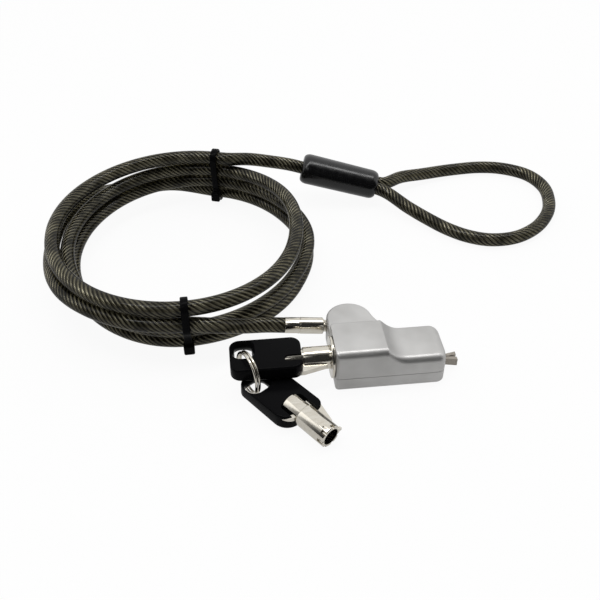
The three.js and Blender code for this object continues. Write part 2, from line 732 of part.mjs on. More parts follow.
function tubeRings(points, radius, sides) {
  return points.map((point, i) => {
    const before = points[Math.max(i - 1, 0)];
    const after = points[Math.min(i + 1, points.length - 1)];
    const ahead = after.clone().sub(before).normalize();
    const side = new THREE.Vector3(0, 0, 1).cross(ahead).normalize();
    const up = ahead.clone().cross(side);
    return Array.from({ length: sides }, (_, k) => {
      const angle = ((k + 0.5) * 2 * Math.PI) / sides;
      return point
        .clone()
        .addScaledVector(side, radius * Math.cos(angle))
        .addScaledVector(up, radius * Math.sin(angle));
    });
  });
}

function stretch(points, steps) {
  const sides = 10;
  const section = new THREE.Shape();
  for (let k = 0; k < sides; k++) {
    const angle = (k * 2 * Math.PI) / sides;
    const x = (CABLE_DIAMETER / 2) * Math.cos(angle);
    const y = (CABLE_DIAMETER / 2) * Math.sin(angle);
    if (k === 0) section.moveTo(x, y);
    else section.lineTo(x, y);
  }
  return new THREE.ExtrudeGeometry(section, {
    steps,
    extrudePath: new THREE.CatmullRomCurve3(points),
  });
}

const vector = ([x, y, z]) => new THREE.Vector3(x, y, z);

// Sleeve that closes the eye: its frame's x runs from the coil's side to the loop.
const SLEEVE_LENGTH = 34;
const SLEEVE_WIDTH = 15;
const SLEEVE_HEIGHT = 12.6;
const SLEEVE_START = [-16.3, 114.9, 14.6];
const SLEEVE_END = [15.6, 108.4, 7.4];
const STRAND_OFFSET = 3;

const sleeve = new THREE.Group();
sleeve.position.fromArray(SLEEVE_START);
const sleeveAhead = vector(SLEEVE_END).sub(vector(SLEEVE_START)).normalize();
sleeve.rotation.order = "ZYX";
sleeve.rotation.z = Math.atan2(sleeveAhead.y, sleeveAhead.x);
sleeve.rotation.y = -Math.asin(sleeveAhead.z);
sleeve.updateMatrix();
part.add(sleeve);
const sleevePoint = (x, y) => new THREE.Vector3(x, y, 0).applyMatrix4(sleeve.matrix);
const SLEEVE_MOUTH = 3.5; // how far the cable runs into the sleeve

const EYE_ROUTE = [
  [29.4, 117, 5.5],
  [40.4, 121.3, 3.9],
  [55.2, 125.2, 2.95],
  [69.7, 126.2, 2.8],
  [80.2, 123.7, 2.8],
  [89.4, 116.9, 2.8],
  [93.3, 105.7, 2.8],
  [90.6, 91, 2.8],
  [85.2, 81.3, 2.8],
  [77.3, 73.3, 2.8],
  [67.4, 68.3, 2.8],
  [57, 67.9, 2.8],
  [48.6, 71.4, 2.8],
  [41.2, 77.7, 2.85],
  [34.4, 85.6, 3.3],
  [28, 93.2, 4.3],
];
const BACK_TAIL_ROUTE = [
  [-39.4, 116, 19.6],
  [-31, 116.2, 17.9],
];
const FRONT_TAIL_ROUTE = [
  [-47.5, 16.1, 10.7],
];

function makeCable() {
  const path = coilPath();
  console.log("least gap between the coil's strands", leastGap(path).toFixed(2), "mm");
  addPiece("cable_coil", skin(tubeRings(path, CABLE_DIAMETER / 2, COIL_SIDES)), cableJacket());

  const end = (from, towards, distance) =>
    from.clone().addScaledVector(towards.clone().sub(from).normalize(), distance);
  const backFace = path[0];
  const backAhead = path[0].clone().addScaledVector(path[0].clone().sub(path[1]).normalize(), 100);
  addPiece(
    "cable_back_tail",
    stretch(
      [
        end(backFace, backAhead, CABLE_GAP),
        end(backFace, backAhead, CABLE_GAP + CABLE_DIAMETER),
        ...BACK_TAIL_ROUTE.map(vector),
        sleevePoint(-CABLE_DIAMETER, 0),
        sleevePoint(SLEEVE_MOUTH - CABLE_GAP, 0),
      ],
      14,
    ),
    cableJacket(),
  );
  const last = path.length - 1;
  const frontFace = path[last];
  const frontAhead = path[last]
    .clone()
    .addScaledVector(path[last].clone().sub(path[last - 1]).normalize(), 100);
  const ferruleEnd = FERRULE_START + FERRULE_LENGTH + CABLE_GAP;
  const swivelPoint = (x) => new THREE.Vector3(x, 0, 0).applyMatrix4(swivel.matrix);
  addPiece(
    "cable_front_tail",
    stretch(
      [
        end(frontFace, frontAhead, CABLE_GAP),
        end(frontFace, frontAhead, CABLE_GAP + CABLE_DIAMETER),
        ...FRONT_TAIL_ROUTE.map(vector),
        swivelPoint(ferruleEnd + CABLE_DIAMETER),
        swivelPoint(ferruleEnd),
      ],
      12,
    ),
    cableJacket(),
  );
  const mouth = SLEEVE_LENGTH - SLEEVE_MOUTH + CABLE_GAP;
  addPiece(
    "cable_eye",
    stretch(
      [
        sleevePoint(mouth, STRAND_OFFSET),
        sleevePoint(SLEEVE_LENGTH + CABLE_DIAMETER / 2, STRAND_OFFSET),
        ...EYE_ROUTE.map(vector),
        sleevePoint(SLEEVE_LENGTH + CABLE_DIAMETER / 2, -STRAND_OFFSET),
        sleevePoint(mouth, -STRAND_OFFSET),
      ],
      34,
    ),
    cableJacket(),
  );
}

function oval(width, height) {
  const outline = new THREE.Shape();
  const corner = Math.min(width, height) / 2;
  const flat = width / 2 - corner;
  outline.absarc(flat, 0, corner, -Math.PI / 2, Math.PI / 2, false);
  outline.absarc(-flat, 0, corner, Math.PI / 2, (3 * Math.PI) / 2, false);
  return outline;
}

// A bar along the sleeve with an oval section, from x0 to x1 in the sleeve's frame.
function ovalBar(width, height, x0, x1) {
  const geometry = new THREE.ExtrudeGeometry(oval(width, height), {
    depth: x1 - x0,
    bevelEnabled: false,
    curveSegments: 12,
  });
  geometry.rotateX(Math.PI / 2);
  geometry.rotateZ(Math.PI / 2);
  geometry.translate(x0, 0, 0);
  return solid(geometry);
}

function sleeveRing(x) {
  const inset = 1.3 * endInset(Math.min(x, SLEEVE_LENGTH - x), 3);
  const swell = 1 - 0.06 * (x / SLEEVE_LENGTH);
  const width = SLEEVE_WIDTH * swell - inset;
  const height = SLEEVE_HEIGHT * swell - inset;
  return Array.from({ length: 28 }, (_, k) => {
    const angle = (k * 2 * Math.PI) / 28;
    return new THREE.Vector3(x, (width / 2) * Math.cos(angle), (height / 2) * Math.sin(angle));
  });
}

function makeSleeve() {
  const stations = [0, 0.3, 0.9, 1.8, 3, 10, 17, 24, 31, 32.2, 33.1, 33.7, 34];
  const clearance = CABLE_DIAMETER / 2 + 0.35;
  const strandsHole = ovalBar(
    2 * (STRAND_OFFSET + clearance),
    2 * clearance,
    SLEEVE_LENGTH - SLEEVE_MOUTH - 1,
    SLEEVE_LENGTH + 1,
  );
  const crimpWidth = 2 * (STRAND_OFFSET + clearance) - 0.6;
  const crimpHeight = 9;
  const room = ovalBar(crimpWidth + 0.6, crimpHeight + 0.6, SLEEVE_MOUTH, SLEEVE_LENGTH - SLEEVE_MOUTH);
  const boot = cut(
    solid(skin(stations.map(sleeveRing))),
    cylinderX(clearance, -1, SLEEVE_MOUTH + 1, 0, 0, 20),
    strandsHole,
    room,
  );
  addPiece("sleeve_boot", geometryOf(boot), blackPlastic(), sleeve);
  const crimp = ovalBar(
    crimpWidth,
    crimpHeight,
    SLEEVE_MOUTH + RUNNING_GAP,
    SLEEVE_LENGTH - SLEEVE_MOUTH - RUNNING_GAP,
  );
  addPiece("loop_crimp", geometryOf(crimp), steel(), sleeve);
}

// ---- ties ----
const TIE_WIDTH = 2.6;
const TIE_THICKNESS = 0.77;
const TIE_CLEARANCE = 0.52;

// The outline of a strap pulled tight round circles of one radius, counter-clockwise.
function strapOutline(centres, radius) {
  const points = centres.flatMap(([x, y]) =>
    Array.from({ length: 20 }, (_, i) => {
      const angle = (i * 2 * Math.PI) / 20;
      return [x + radius * Math.cos(angle), y + radius * Math.sin(angle)];
    }),
  );
  points.sort((p, q) => p[0] - q[0] || p[1] - q[1]);
  const turn = (o, p, q) => (p[0] - o[0]) * (q[1] - o[1]) - (p[1] - o[1]) * (q[0] - o[0]);
  const half = (ordered) => {
    const chain = [];
    for (const p of ordered) {
      while (chain.length > 1 && turn(chain[chain.length - 2], chain[chain.length - 1], p) <= 1e-6) {
        chain.pop();
      }
      chain.push(p);
    }
    chain.pop();
    return chain;
  };
  return [...half(points), ...half([...points].reverse())];
}

// Where a strap's outline crosses a height, on its outer (+1) or inner (-1) side.
function edgeAt(outline, height, side) {
  const crossings = [];
  outline.forEach(([x0, y0], i) => {
    const [x1, y1] = outline[(i + 1) % outline.length];
    if (y0 <= height !== y1 <= height) crossings.push(x0 + ((height - y0) / (y1 - y0)) * (x1 - x0));
  });
  return side > 0 ? Math.max(...crossings) : Math.min(...crossings);
}

// A moulded cable tie: strap, head and the cut end of its tail. Its frame's x runs outwards.
function makeTie(name, azimuth, passes, headSide) {
  const angle = (azimuth * Math.PI) / 180;
  const centres = passes.map((pass) => {
    const point = coilPoint(azimuth + 360 * pass);
    return [Math.hypot(point.x - COIL_X, point.y - COIL_Y), point.z];
  });
  const inner = CABLE_DIAMETER / 2 + TIE_CLEARANCE;
  const boreOutline = strapOutline(centres, inner);
  const strap = slab(polygon(strapOutline(centres, inner + TIE_THICKNESS)), 0, TIE_WIDTH);
  const bore = slab(polygon(boreOutline), -1, TIE_WIDTH + 1);
  const low = Math.min(...centres.map(([, z]) => z));
  const edge = edgeAt(boreOutline, low + 1, headSide);
  const outwards = (from, to) => (headSide > 0 ? [edge + from, edge + to] : [edge - to, edge - from]);
  const head = box(...outwards(-0.5, 3.6), low - 1.7, low + 2.3, -0.6, TIE_WIDTH + 0.6);
  const stub = box(...outwards(1.4, 2.3), low + 2.2, low + 4, 0.3, TIE_WIDTH - 0.3);
  const tie = join(cut(join(strap, head), bore), stub);
  const geometry = geometryOf(tie);
  geometry.rotateX(Math.PI / 2);
  geometry.translate(0, TIE_WIDTH / 2, 0);
  geometry.rotateZ(angle);
  geometry.translate(COIL_X, COIL_Y, 0);
  addPiece(name, geometry, blackPlastic());
}

// ---- keys ----
function roundedRectangle(x0, x1, y0, y1, radius) {
  const outline = new THREE.Shape();
  outline.moveTo(x0 + radius, y0);
  outline.lineTo(x1 - radius, y0);
  outline.absarc(x1 - radius, y0 + radius, radius, -Math.PI / 2, 0, false);
  outline.lineTo(x1, y1 - radius);
  outline.absarc(x1 - radius, y1 - radius, radius, 0, Math.PI / 2, false);
  outline.lineTo(x0 + radius, y1);
  outline.absarc(x0 + radius, y1 - radius, radius, Math.PI / 2, Math.PI, false);
  outline.lineTo(x0, y0 + radius);
  outline.absarc(x0 + radius, y0 + radius, radius, Math.PI, (3 * Math.PI) / 2, false);
  return outline;
}

// The ring's hole is narrowest halfway through the head and opens towards both faces.
function flaredHole(x, bottom, top) {
  const middle = (bottom + top) / 2;
  const beyond = 0.5;
  const rings = [
    [bottom - beyond, RING_HOLE_FLARE * (1 + beyond / (middle - bottom))],
    [middle, 0],
    [top + beyond, RING_HOLE_FLARE * (1 + beyond / (top - middle))],
  ];
  const corner = 2.2;
  const reachX = RING_HOLE_WIDTH / 2 - corner;
  const reachY = RING_HOLE_LENGTH / 2 - corner;
  const corners = [
    [-1, -1],
    [1, -1],
    [1, 1],
    [-1, 1],
  ];
  const outlines = rings.map(([z, flare]) =>
    corners.flatMap(([sx, sy], i) =>
      arcPoints(
        x + sx * reachX,
        RING_HOLE_OFFSET + sy * reachY,
        corner + flare,
        180 + 90 * i,
        270 + 90 * i,
        4,
      ).map(([px, py]) => new THREE.Vector3(px, py, z)),
    ),
  );
  return solid(skin(outlines));
}

const TANG_LENGTH = 8;
const TANG_HALF_WIDTH = 3.4;
const TANG_THICKNESS = 1.8;

// The head before its holes are cut. It thins evenly from the lobes to the ring's end.
function keyBlank() {
  const half = KEY_HEAD_WIDTH / 2;
  const outline = roundedRectangle(-KEY_HEAD_LENGTH, 0, -half, half, KEY_HEAD_CORNER);
  const geometry = geometryOf(slab(outline, KEY_LOBE_BOTTOM, KEY_HEAD_TOP, 0.8));
  const lost = (KEY_HEAD_BOTTOM - KEY_LOBE_BOTTOM) / (KEY_HEAD_TOP - KEY_LOBE_BOTTOM);
  const points = geometry.attributes.position;
  for (let i = 0; i < points.count; i++) {
    const left = 1 + (lost * points.getX(i)) / KEY_HEAD_LENGTH;
    points.setZ(i, KEY_HEAD_TOP - (KEY_HEAD_TOP - points.getZ(i)) * left);
  }
  return solid(geometry);
}

// The moulded head, in the key's frame: x = 0 at the end of its lobes, +x towards the tip.
function keyHead() {
  const bottom = KEY_LOBE_BOTTOM;
  const top = KEY_HEAD_TOP;
  const half = KEY_HEAD_WIDTH / 2;
  const hole = flaredHole(-KEY_HEAD_LENGTH + RING_HOLE_FROM_END, KEY_HEAD_BOTTOM, top);
  const rootRoom = cylinderX(
    KEY_ROOT_RADIUS + 0.15,
    -KEY_NOTCH_LENGTH - RUNNING_GAP,
    1,
    0,
    0,
    28,
  );
  const notch = slab(
    roundedRectangle(-KEY_NOTCH_LENGTH - RUNNING_GAP, 4, -4.4, 4.4, 1.6),
    bottom - 1,
    0,
  );
  const tangRoom = box(
    -KEY_NOTCH_LENGTH - TANG_LENGTH - RUNNING_GAP,
    -KEY_NOTCH_LENGTH + 1,
    -TANG_HALF_WIDTH - RUNNING_GAP / 2,
    TANG_HALF_WIDTH - 1.6 + RUNNING_GAP / 2,
    -RUNNING_GAP / 2,
    TANG_THICKNESS + RUNNING_GAP / 2,
  );
  const ribRoom = slab(roundedRectangle(-5.9, 4, -4.4, -1.5, 1.4), 1, top + 1);
  const finRoom = box(-3.2, 1, -half - 1, 0, -KEY_FIN_THICKNESS / 2 - 0.2, KEY_FIN_THICKNESS / 2 + 0.2);
  return cut(keyBlank(), hole, rootRoom, notch, tangRoom, ribRoom, finRoom);
}

// The metal insert: tube, root, tang, tapered fin and the nub that the lock's mouth takes.
function keyShank() {
  const tip = KEY_TUBE_LENGTH;
  const tube = cylinderX(KEY_TUBE_RADIUS, RUNNING_GAP, tip, 0, 0, 36);
  const root = cylinderX(KEY_ROOT_RADIUS, -KEY_NOTCH_LENGTH, RUNNING_GAP + 0.1, 0, 0, 28);
  const tang = box(
    -KEY_NOTCH_LENGTH - TANG_LENGTH,
    -KEY_NOTCH_LENGTH + 0.1,
    -TANG_HALF_WIDTH,
    TANG_HALF_WIDTH - 1.6,
    0,
    TANG_THICKNESS,
  );
  const fin = slab(
    polygon([
      [-3, -KEY_HEAD_WIDTH / 2 + 0.7],
      [RUNNING_GAP, -KEY_HEAD_WIDTH / 2 + 0.7],
      [KEY_TUBE_LENGTH - 4.1, -KEY_TUBE_RADIUS - 0.6],
      [KEY_TUBE_LENGTH - 4.1, -KEY_TUBE_RADIUS + 1],
      [-3, -KEY_ROOT_RADIUS + 0.6],
    ]),
    -KEY_FIN_THICKNESS / 2,
    KEY_FIN_THICKNESS / 2,
  );
  const nub = box(
    tip - KEY_NUB_LENGTH,
    tip,
    -KEY_NUB_RADIUS,
    -KEY_BORE_RADIUS - 0.4,
    -KEY_NUB_WIDTH / 2,
    KEY_NUB_WIDTH / 2,
  );
  let shank = join(tube, root, tang, fin, nub);
  shank = cut(shank, cylinderX(KEY_BORE_RADIUS, tip - KEY_BORE_DEPTH, tip + 1, 0, 0, 32));
  for (let i = 0; i < PIN_COUNT; i++) {
    const y = (PIN_CIRCLE + 0.1) * Math.cos(pinAngle(i));
    const z = (PIN_CIRCLE + 0.1) * Math.sin(pinAngle(i));
    shank = cut(shank, cylinderX(0.62, tip - BITTING[i], tip + 1, y, z, 10));
  }
  return shank;
}

const KEY_TIP_X = ROTOR_FRONT - 0.35;
const KEY_2_TIP = [-23.7, -31.1, KEY_TUBE_RADIUS + 0.05];
const KEY_2_YAW = -52.6;
const KEY_2_CROSSING = 24.2; // from its tip to where it passes below the first key's lobes
const KEY_2_CLEARANCE = 0.1;

// Its tip lies on the table, and its head rises to the underside of the first key.
function secondKeyPitch() {
  const middleBottom = (KEY_LOBE_BOTTOM + KEY_HEAD_BOTTOM) / 2;
  const top = KEY_AXIS_HEIGHT + KEY_LOBE_BOTTOM + middleBottom - KEY_2_CLEARANCE;
  return Math.asin((top - KEY_2_TIP[2]) / KEY_2_CROSSING);
}

function makeKeys() {
  const first = new THREE.Group();
  first.position.set(KEY_TIP_X - KEY_TUBE_LENGTH, 0, KEY_AXIS_HEIGHT);
  part.add(first);
  const second = new THREE.Group();
  second.rotation.order = "ZYX";
  second.rotation.set(Math.PI, secondKeyPitch(), (KEY_2_YAW * Math.PI) / 180);
  second.updateMatrix();
  const reach = new THREE.Vector3(KEY_TUBE_LENGTH, 0, 0).applyMatrix4(second.matrix);
  second.position.copy(vector(KEY_2_TIP).sub(reach));
  part.add(second);
  const head = geometryOf(keyHead());
  const shank = geometryOf(keyShank());
  addPiece("key_1_head", head, blackPlastic(), first);
  addPiece("key_1_shank", shank, nickel(), first);
  addPiece("key_2_head", head.clone(), blackPlastic(), second);
  addPiece("key_2_shank", shank.clone(), nickel(), second);
}

// ---- split ring ----
const RING_RADIUS = 7.08; // middle of the wire
const RING_WIRE_WIDTH = 1.1;
const RING_WIRE_DEPTH = 0.8;
const RING_TURN_GAP = 0.3;
const RING_CENTRE = [-47.5, -4.19, KEY_AXIS_HEIGHT - 0.41];
const RING_NORMAL = [1, 0.42, -0.05];
const RING_TURNS = 1.9;

function makeRing() {
  const axis = vector(RING_NORMAL).normalize();
  const side = new THREE.Vector3(0, 0, 1).cross(axis).normalize();
  const up = axis.clone().cross(side);
  const steps = 52;
  const rings = [];
  for (let i = 0; i <= steps; i++) {
    const turn = (RING_TURNS * i) / steps;
    const angle = 2 * Math.PI * turn;
    const step = THREE.MathUtils.smoothstep(turn, RING_TURNS - 1, 1) - 0.5;
    const shift = (RING_WIRE_DEPTH + RING_TURN_GAP) * step;
    const outwards = side
      .clone()
      .multiplyScalar(Math.cos(angle))
      .addScaledVector(up, Math.sin(angle));
    const middle = vector(RING_CENTRE)
      .addScaledVector(outwards, RING_RADIUS)
      .addScaledVector(axis, shift);
    rings.push(
      Array.from({ length: 8 }, (_, k) => {
        const around = ((k + 0.5) * 2 * Math.PI) / 8;
        return middle
          .clone()
          .addScaledVector(outwards, (RING_WIRE_WIDTH / 2) * 1.08 * Math.sin(around))
          .addScaledVector(axis, (RING_WIRE_DEPTH / 2) * 1.08 * Math.cos(around));
      }),
    );
  }
  addPiece("split_ring", skin(rings), nickel());
}

makeShells();
makeCylinder();
makeCam();
makeWedge();
makeBlades();
makeCableEnd();
makeCable();
makeSleeve();
makeTie("tie_front", FRONT_TIE_ANGLE, [0, 1, 2, 3], 1);
makeTie("tie_back", BACK_TIE_ANGLE, [0, 1, 2, 3], -1);
makeKeys();
makeRing();

export default part;
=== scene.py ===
"""Laptop cable lock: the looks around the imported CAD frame. Blender 4.5, metres, +Z up."""

import json
import math

import bmesh
import bpy
from mathutils import Euler, Matrix, Vector
from mathutils.geometry import convex_hull_2d


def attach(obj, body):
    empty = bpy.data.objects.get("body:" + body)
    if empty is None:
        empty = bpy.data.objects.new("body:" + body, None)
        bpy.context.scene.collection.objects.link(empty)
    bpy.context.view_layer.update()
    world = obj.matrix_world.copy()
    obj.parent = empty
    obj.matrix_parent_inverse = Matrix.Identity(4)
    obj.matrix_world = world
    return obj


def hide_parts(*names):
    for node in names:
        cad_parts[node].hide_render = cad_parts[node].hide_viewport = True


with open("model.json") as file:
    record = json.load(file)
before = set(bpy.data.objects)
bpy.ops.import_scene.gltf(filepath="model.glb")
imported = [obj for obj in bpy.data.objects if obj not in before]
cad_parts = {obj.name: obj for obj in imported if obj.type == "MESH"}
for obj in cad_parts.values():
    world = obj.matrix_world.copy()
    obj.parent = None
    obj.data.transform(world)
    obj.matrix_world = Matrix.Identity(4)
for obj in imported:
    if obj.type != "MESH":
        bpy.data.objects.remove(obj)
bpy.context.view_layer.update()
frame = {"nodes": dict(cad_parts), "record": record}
# Shapes are worked out in millimetres and become metres when their mesh is made.
MM = 0.001
DEG = math.pi / 180


# ---- shader nodes ----
def feed(tree, node, inputs):
    """Gives the node its inputs, each a value or the socket that it's linked to."""
    for name, value in inputs.items():
        if isinstance(value, bpy.types.NodeSocket):
            tree.links.new(value, node.inputs[name])
        else:
            node.inputs[name].default_value = value


def add_node(tree, kind, inputs):
    """A new shader node with its inputs."""
    node = tree.nodes.new("ShaderNode" + kind)
    feed(tree, node, inputs)
    return node


def calculate(tree, operation, *values):
    """The result of a sum on values or sockets."""
    node = add_node(tree, "Math", dict(enumerate(values)))
    node.operation = operation
    return node.outputs[0]


# ---- camera, lights and floor ----
# The camera's place is in millimetres, like the shapes. The lights and the floor are in metres.
CAMERA_PLACE, CAMERA_TILT, CAMERA_TURN = Vector((-50.95, -190.63, 192)), 50.5, -6.3
LENS, SENSOR_WIDTH, CLIP_START = 47.4, 36, 0.01
WHITE = (1, 1, 1, 1)
# The studio's strength in front of the object and behind it, and how far back it changes.
STUDIO_FRONT, STUDIO_BACK, CHANGE_START, CHANGE_END = 0.03, 0.95, -0.35, 0.25
FLOOR_REACH, FLOOR_DROP, PAPER_WHITE = 1.6, 0.0001, 0.93
FLOOR_GLOW_SHARE, FLOOR_GLOW_REFLECTED = 0.93, 0.66
# Each light's place, what it points at, its size and its power.
LIGHTS = {
    "overhead": ((-0.05, 0.12, 0.9), (-0.02, 0.05, 0), (1.3, 0.14), 3.6),
    "key": ((-0.3, -0.4, 0.8), (-0.02, 0.02, 0), (0.45, 0.3), 0.5),
    "right": ((0.8, 0.1, 0.5), (0, 0.05, 0), (0.3, 0.8), 0.6),
    "left": ((-0.85, 0.1, 0.45), (0, 0.05, 0), (0.3, 0.8), 0.5),
}


def make_camera():
    data = bpy.data.cameras.new("camera")
    data.lens = LENS
    data.sensor_width = SENSOR_WIDTH
    data.clip_start = CLIP_START
    camera = bpy.data.objects.new("camera", data)
    camera.location = CAMERA_PLACE * MM
    camera.rotation_euler = Euler((CAMERA_TILT * DEG, 0, CAMERA_TURN * DEG), "XYZ")
    bpy.context.scene.collection.objects.link(camera)
    bpy.context.scene.camera = camera


def area_light(name, place, target, size, power):
    data = bpy.data.lights.new(name, "AREA")
    data.shape = "RECTANGLE"
    data.size, data.size_y = size
    data.energy = power
    light = bpy.data.objects.new(name, data)
    light.location = place
    aim = Vector(target) - Vector(place)
    light.rotation_euler = aim.to_track_quat("-Z", "Y").to_euler()
    bpy.context.scene.collection.objects.link(light)


def seen_by(tree, *kinds):
    """1 for a ray of any of the given kinds, else 0."""
    path = add_node(tree, "LightPath", {})
    value = path.outputs[kinds[0]]
    for kind in kinds[1:]:
        value = calculate(tree, "MAXIMUM", value, path.outputs[kind])
    return value


def mix_shaders(tree, share, first, second):
    sockets = {0: share, 1: first.outputs[0], 2: second.outputs[0]}
    return add_node(tree, "MixShader", sockets).outputs[0]


def make_world():
    """The camera sees plain white. The object sees a studio that is dark in front, bright behind."""
    world = bpy.data.worlds.new("studio")
    bpy.context.scene.world = world
    world.use_nodes = True
    tree = world.node_tree
    tree.nodes.clear()
    direction = add_node(tree, "TexCoord", {}).outputs["Generated"]
    depth = {
        "Value": add_node(tree, "SeparateXYZ", {0: direction}).outputs["Y"],
        "From Min": CHANGE_START,
        "From Max": CHANGE_END,
        "To Min": STUDIO_FRONT,
        "To Max": STUDIO_BACK,
    }
    strength = add_node(tree, "MapRange", depth)
    strength.interpolation_type = "SMOOTHSTEP"
    studio = {"Color": WHITE, "Strength": strength.outputs["Result"]}
    soft = add_node(tree, "Background", studio)
    white = add_node(tree, "Background", {"Color": WHITE, "Strength": 1})
    mixed = mix_shaders(tree, seen_by(tree, "Is Camera Ray"), soft, white)
    add_node(tree, "OutputWorld", {0: mixed})


def floor_material():
    """White paper that looks evenly lit, to the camera and in reflections, with a faint shadow."""
    material = bpy.data.materials.new("floor_white")
    material.use_nodes = True
    tree = material.node_tree
    tree.nodes.clear()
    paper = add_node(tree, "BsdfDiffuse", {"Color": (PAPER_WHITE, PAPER_WHITE, PAPER_WHITE, 1)})
    brightness = {
        "Value": seen_by(tree, "Is Camera Ray"),
        "To Min": FLOOR_GLOW_REFLECTED,
        "To Max": 1,
    }
    strength = add_node(tree, "MapRange", brightness).outputs["Result"]
    glow = add_node(tree, "Emission", {"Strength": strength})
    seen = seen_by(tree, "Is Camera Ray", "Is Glossy Ray", "Is Transmission Ray")
    share = calculate(tree, "MULTIPLY", seen, FLOOR_GLOW_SHARE)
    add_node(tree, "OutputMaterial", {0: mix_shaders(tree, share, paper, glow)})
    return material


def make_floor():
    mesh = bpy.data.meshes.new("floor")
    corners = [(-1, -1), (1, -1), (1, 1), (-1, 1)]
    vertices = [(x * FLOOR_REACH, y * FLOOR_REACH, -FLOOR_DROP) for x, y in corners]
    mesh.from_pydata(vertices, [], [(0, 1, 2, 3)])
    mesh.materials.append(floor_material())
    floor = bpy.data.objects.new("floor", mesh)
    bpy.context.scene.collection.objects.link(floor)


# ---- materials ----
# A noise's values lie mostly between these two.
NOISE_LOW, NOISE_HIGH = 0.3, 0.7


def make_material(name, colour, roughness, metallic=0.0):
    material = bpy.data.materials.new(name)
    material.use_nodes = True
    paint(material, {"Base Color": (*colour, 1), "Roughness": roughness, "Metallic": metallic})
    return material


def paint(material, inputs):
    """Sets the inputs of the material's surface."""
    tree = material.node_tree
    feed(tree, tree.nodes["Principled BSDF"], inputs)


def noise(material, scale, detail, stretch=(1, 1, 1)):
    tree = material.node_tree
    spot = add_node(tree, "TexCoord", {}).outputs["Object"]
    spot = add_node(tree, "Mapping", {"Vector": spot, "Scale": stretch}).outputs["Vector"]
    texture = {"Vector": spot, "Scale": scale, "Detail": detail}
    return add_node(tree, "TexNoise", texture).outputs["Fac"]


def remap(material, value, low, high, from_low=NOISE_LOW, from_high=NOISE_HIGH):
    limits = {"From Min": from_low, "From Max": from_high, "To Min": low, "To Max": high}
    return add_node(material.node_tree, "MapRange", {"Value": value, **limits}).outputs["Result"]


def blend(material, value, first, second):
    """The first colour where the value is 0, the second where it is 1."""
    tree = material.node_tree
    mix = add_node(tree, "Mix", {})
    mix.data_type = "RGBA"
    feed(tree, mix, {"Factor": value, "A": (*first, 1), "B": (*second, 1)})
    return mix.outputs["Result"]


def bump(material, height, distance, strength):
    inputs = {"Height": height, "Distance": distance, "Strength": strength}
    return add_node(material.node_tree, "Bump", inputs).outputs["Normal"]


def satin_zinc():
    material = make_material("satin_zinc", (0.42, 0.415, 0.405), 0.4, 0.8)
    cloud = remap(material, noise(material, 90, 2), 0, 1)
    grain = noise(material, 5200, 2)
    looks = {
        "Base Color": blend(material, cloud, (0.46, 0.455, 0.445), (0.56, 0.555, 0.545)),
        "Roughness": remap(material, grain, 0.36, 0.46),
        "Normal": bump(material, grain, 0.00003, 0.5),
    }
    paint(material, looks)
    return material


def polished_nickel():
    material = make_material("polished_nickel", (0.66, 0.62, 0.54), 0.14, 1.0)
    smear = noise(material, 260, 4, (1, 4, 4))
    cloud = remap(material, smear, 0, 1)
    looks = {
        "Base Color": blend(material, cloud, (0.63, 0.59, 0.51), (0.72, 0.69, 0.62)),
        "Roughness": remap(material, smear, 0.1, 0.17),
    }
    paint(material, looks)
    return material


def plain_steel():
    material = make_material("plain_steel", (0.3, 0.28, 0.25), 0.34, 1.0)
    brushed = noise(material, 900, 3, (1, 9, 9))
    cloud = remap(material, brushed, 0, 1)
    looks = {
        "Base Color": blend(material, cloud, (0.22, 0.2, 0.17), (0.4, 0.37, 0.33)),
        "Roughness": remap(material, brushed, 0.26, 0.42),
        "Normal": bump(material, brushed, 0.00002, 0.4),
    }
    paint(material, looks)
    return material


def turned_brass():
    material = make_material("turned_brass", (0.5, 0.36, 0.14), 0.3, 1.0)
    rings = noise(material, 1500, 2, (8, 1, 1))
    roughness = remap(material, rings, 0.22, 0.4)
    paint(material, {"Roughness": roughness, "Normal": bump(material, rings, 0.00002, 0.4)})
    return material


def black_gloss(name, roughness, shine):
    material = make_material(name, (0.004, 0.004, 0.0045), roughness)
    patches = noise(material, 420, 3)
    looks = {
        "Specular IOR Level": shine,
        "Roughness": remap(material, patches, roughness - 0.05, roughness + 0.09),
        "Normal": bump(material, noise(material, 160, 2), 0.00006, 0.35),
    }
    paint(material, looks)
    return material


# Wires in the cable's outer layer, the length of the cable in which a wire goes once round it,
# and a wire's relief. The last two are in metres.
WIRES, LAY_LENGTH, WIRE_RELIEF = 9, 19 * MM, 0.0007


def cable_jacket():
    """Twisted wires under a smooth smoky jacket. Its UVs are turns of the lay and turns round it."""
    material = make_material("cable_jacket", (0.03, 0.028, 0.02), 0.3)
    tree = material.node_tree
    uv = add_node(tree, "UVMap", {})
    uv.uv_map = "lay"
    split = add_node(tree, "SeparateXYZ", {0: uv.outputs["UV"]})
    helix = calculate(tree, "SUBTRACT", split.outputs["X"], split.outputs["Y"])
    wave = calculate(tree, "SINE", calculate(tree, "MULTIPLY", helix, WIRES * math.pi))
    crown = calculate(tree, "ABSOLUTE", wave)
    cloud = remap(material, noise(material, 150, 4), 0.25, 1.0, 0.35, 0.65)
    # The wires' base colour darkens into the grooves between them, which is painted shade, and a
    # noise dims the wires in patches at random.
    patches_and_groove_shade = calculate(tree, "MULTIPLY", calculate(tree, "POWER", crown, 1.2), cloud)
    looks = {
        "Base Color": blend(material, patches_and_groove_shade, (0.005, 0.0045, 0.003), (0.2, 0.185, 0.13)),
        "Metallic": 0.9,
        "Roughness": remap(material, patches_and_groove_shade, 0.4, 0.24, 0, 1),
        "Normal": bump(material, crown, WIRE_RELIEF, 1),
        "Specular IOR Level": 0.2,
        "Specular Tint": (0.25, 0.24, 0.2, 1),
        "Coat IOR": 1.38,
        "Coat Weight": 0.45,
        "Coat Roughness": 0.08,
    }
    paint(material, looks)
    return material


# ---- meshes ----
# A point on a lathe piece's axis gets this small radius, so that every ring keeps its points.
LEAST_RADIUS = 0.002
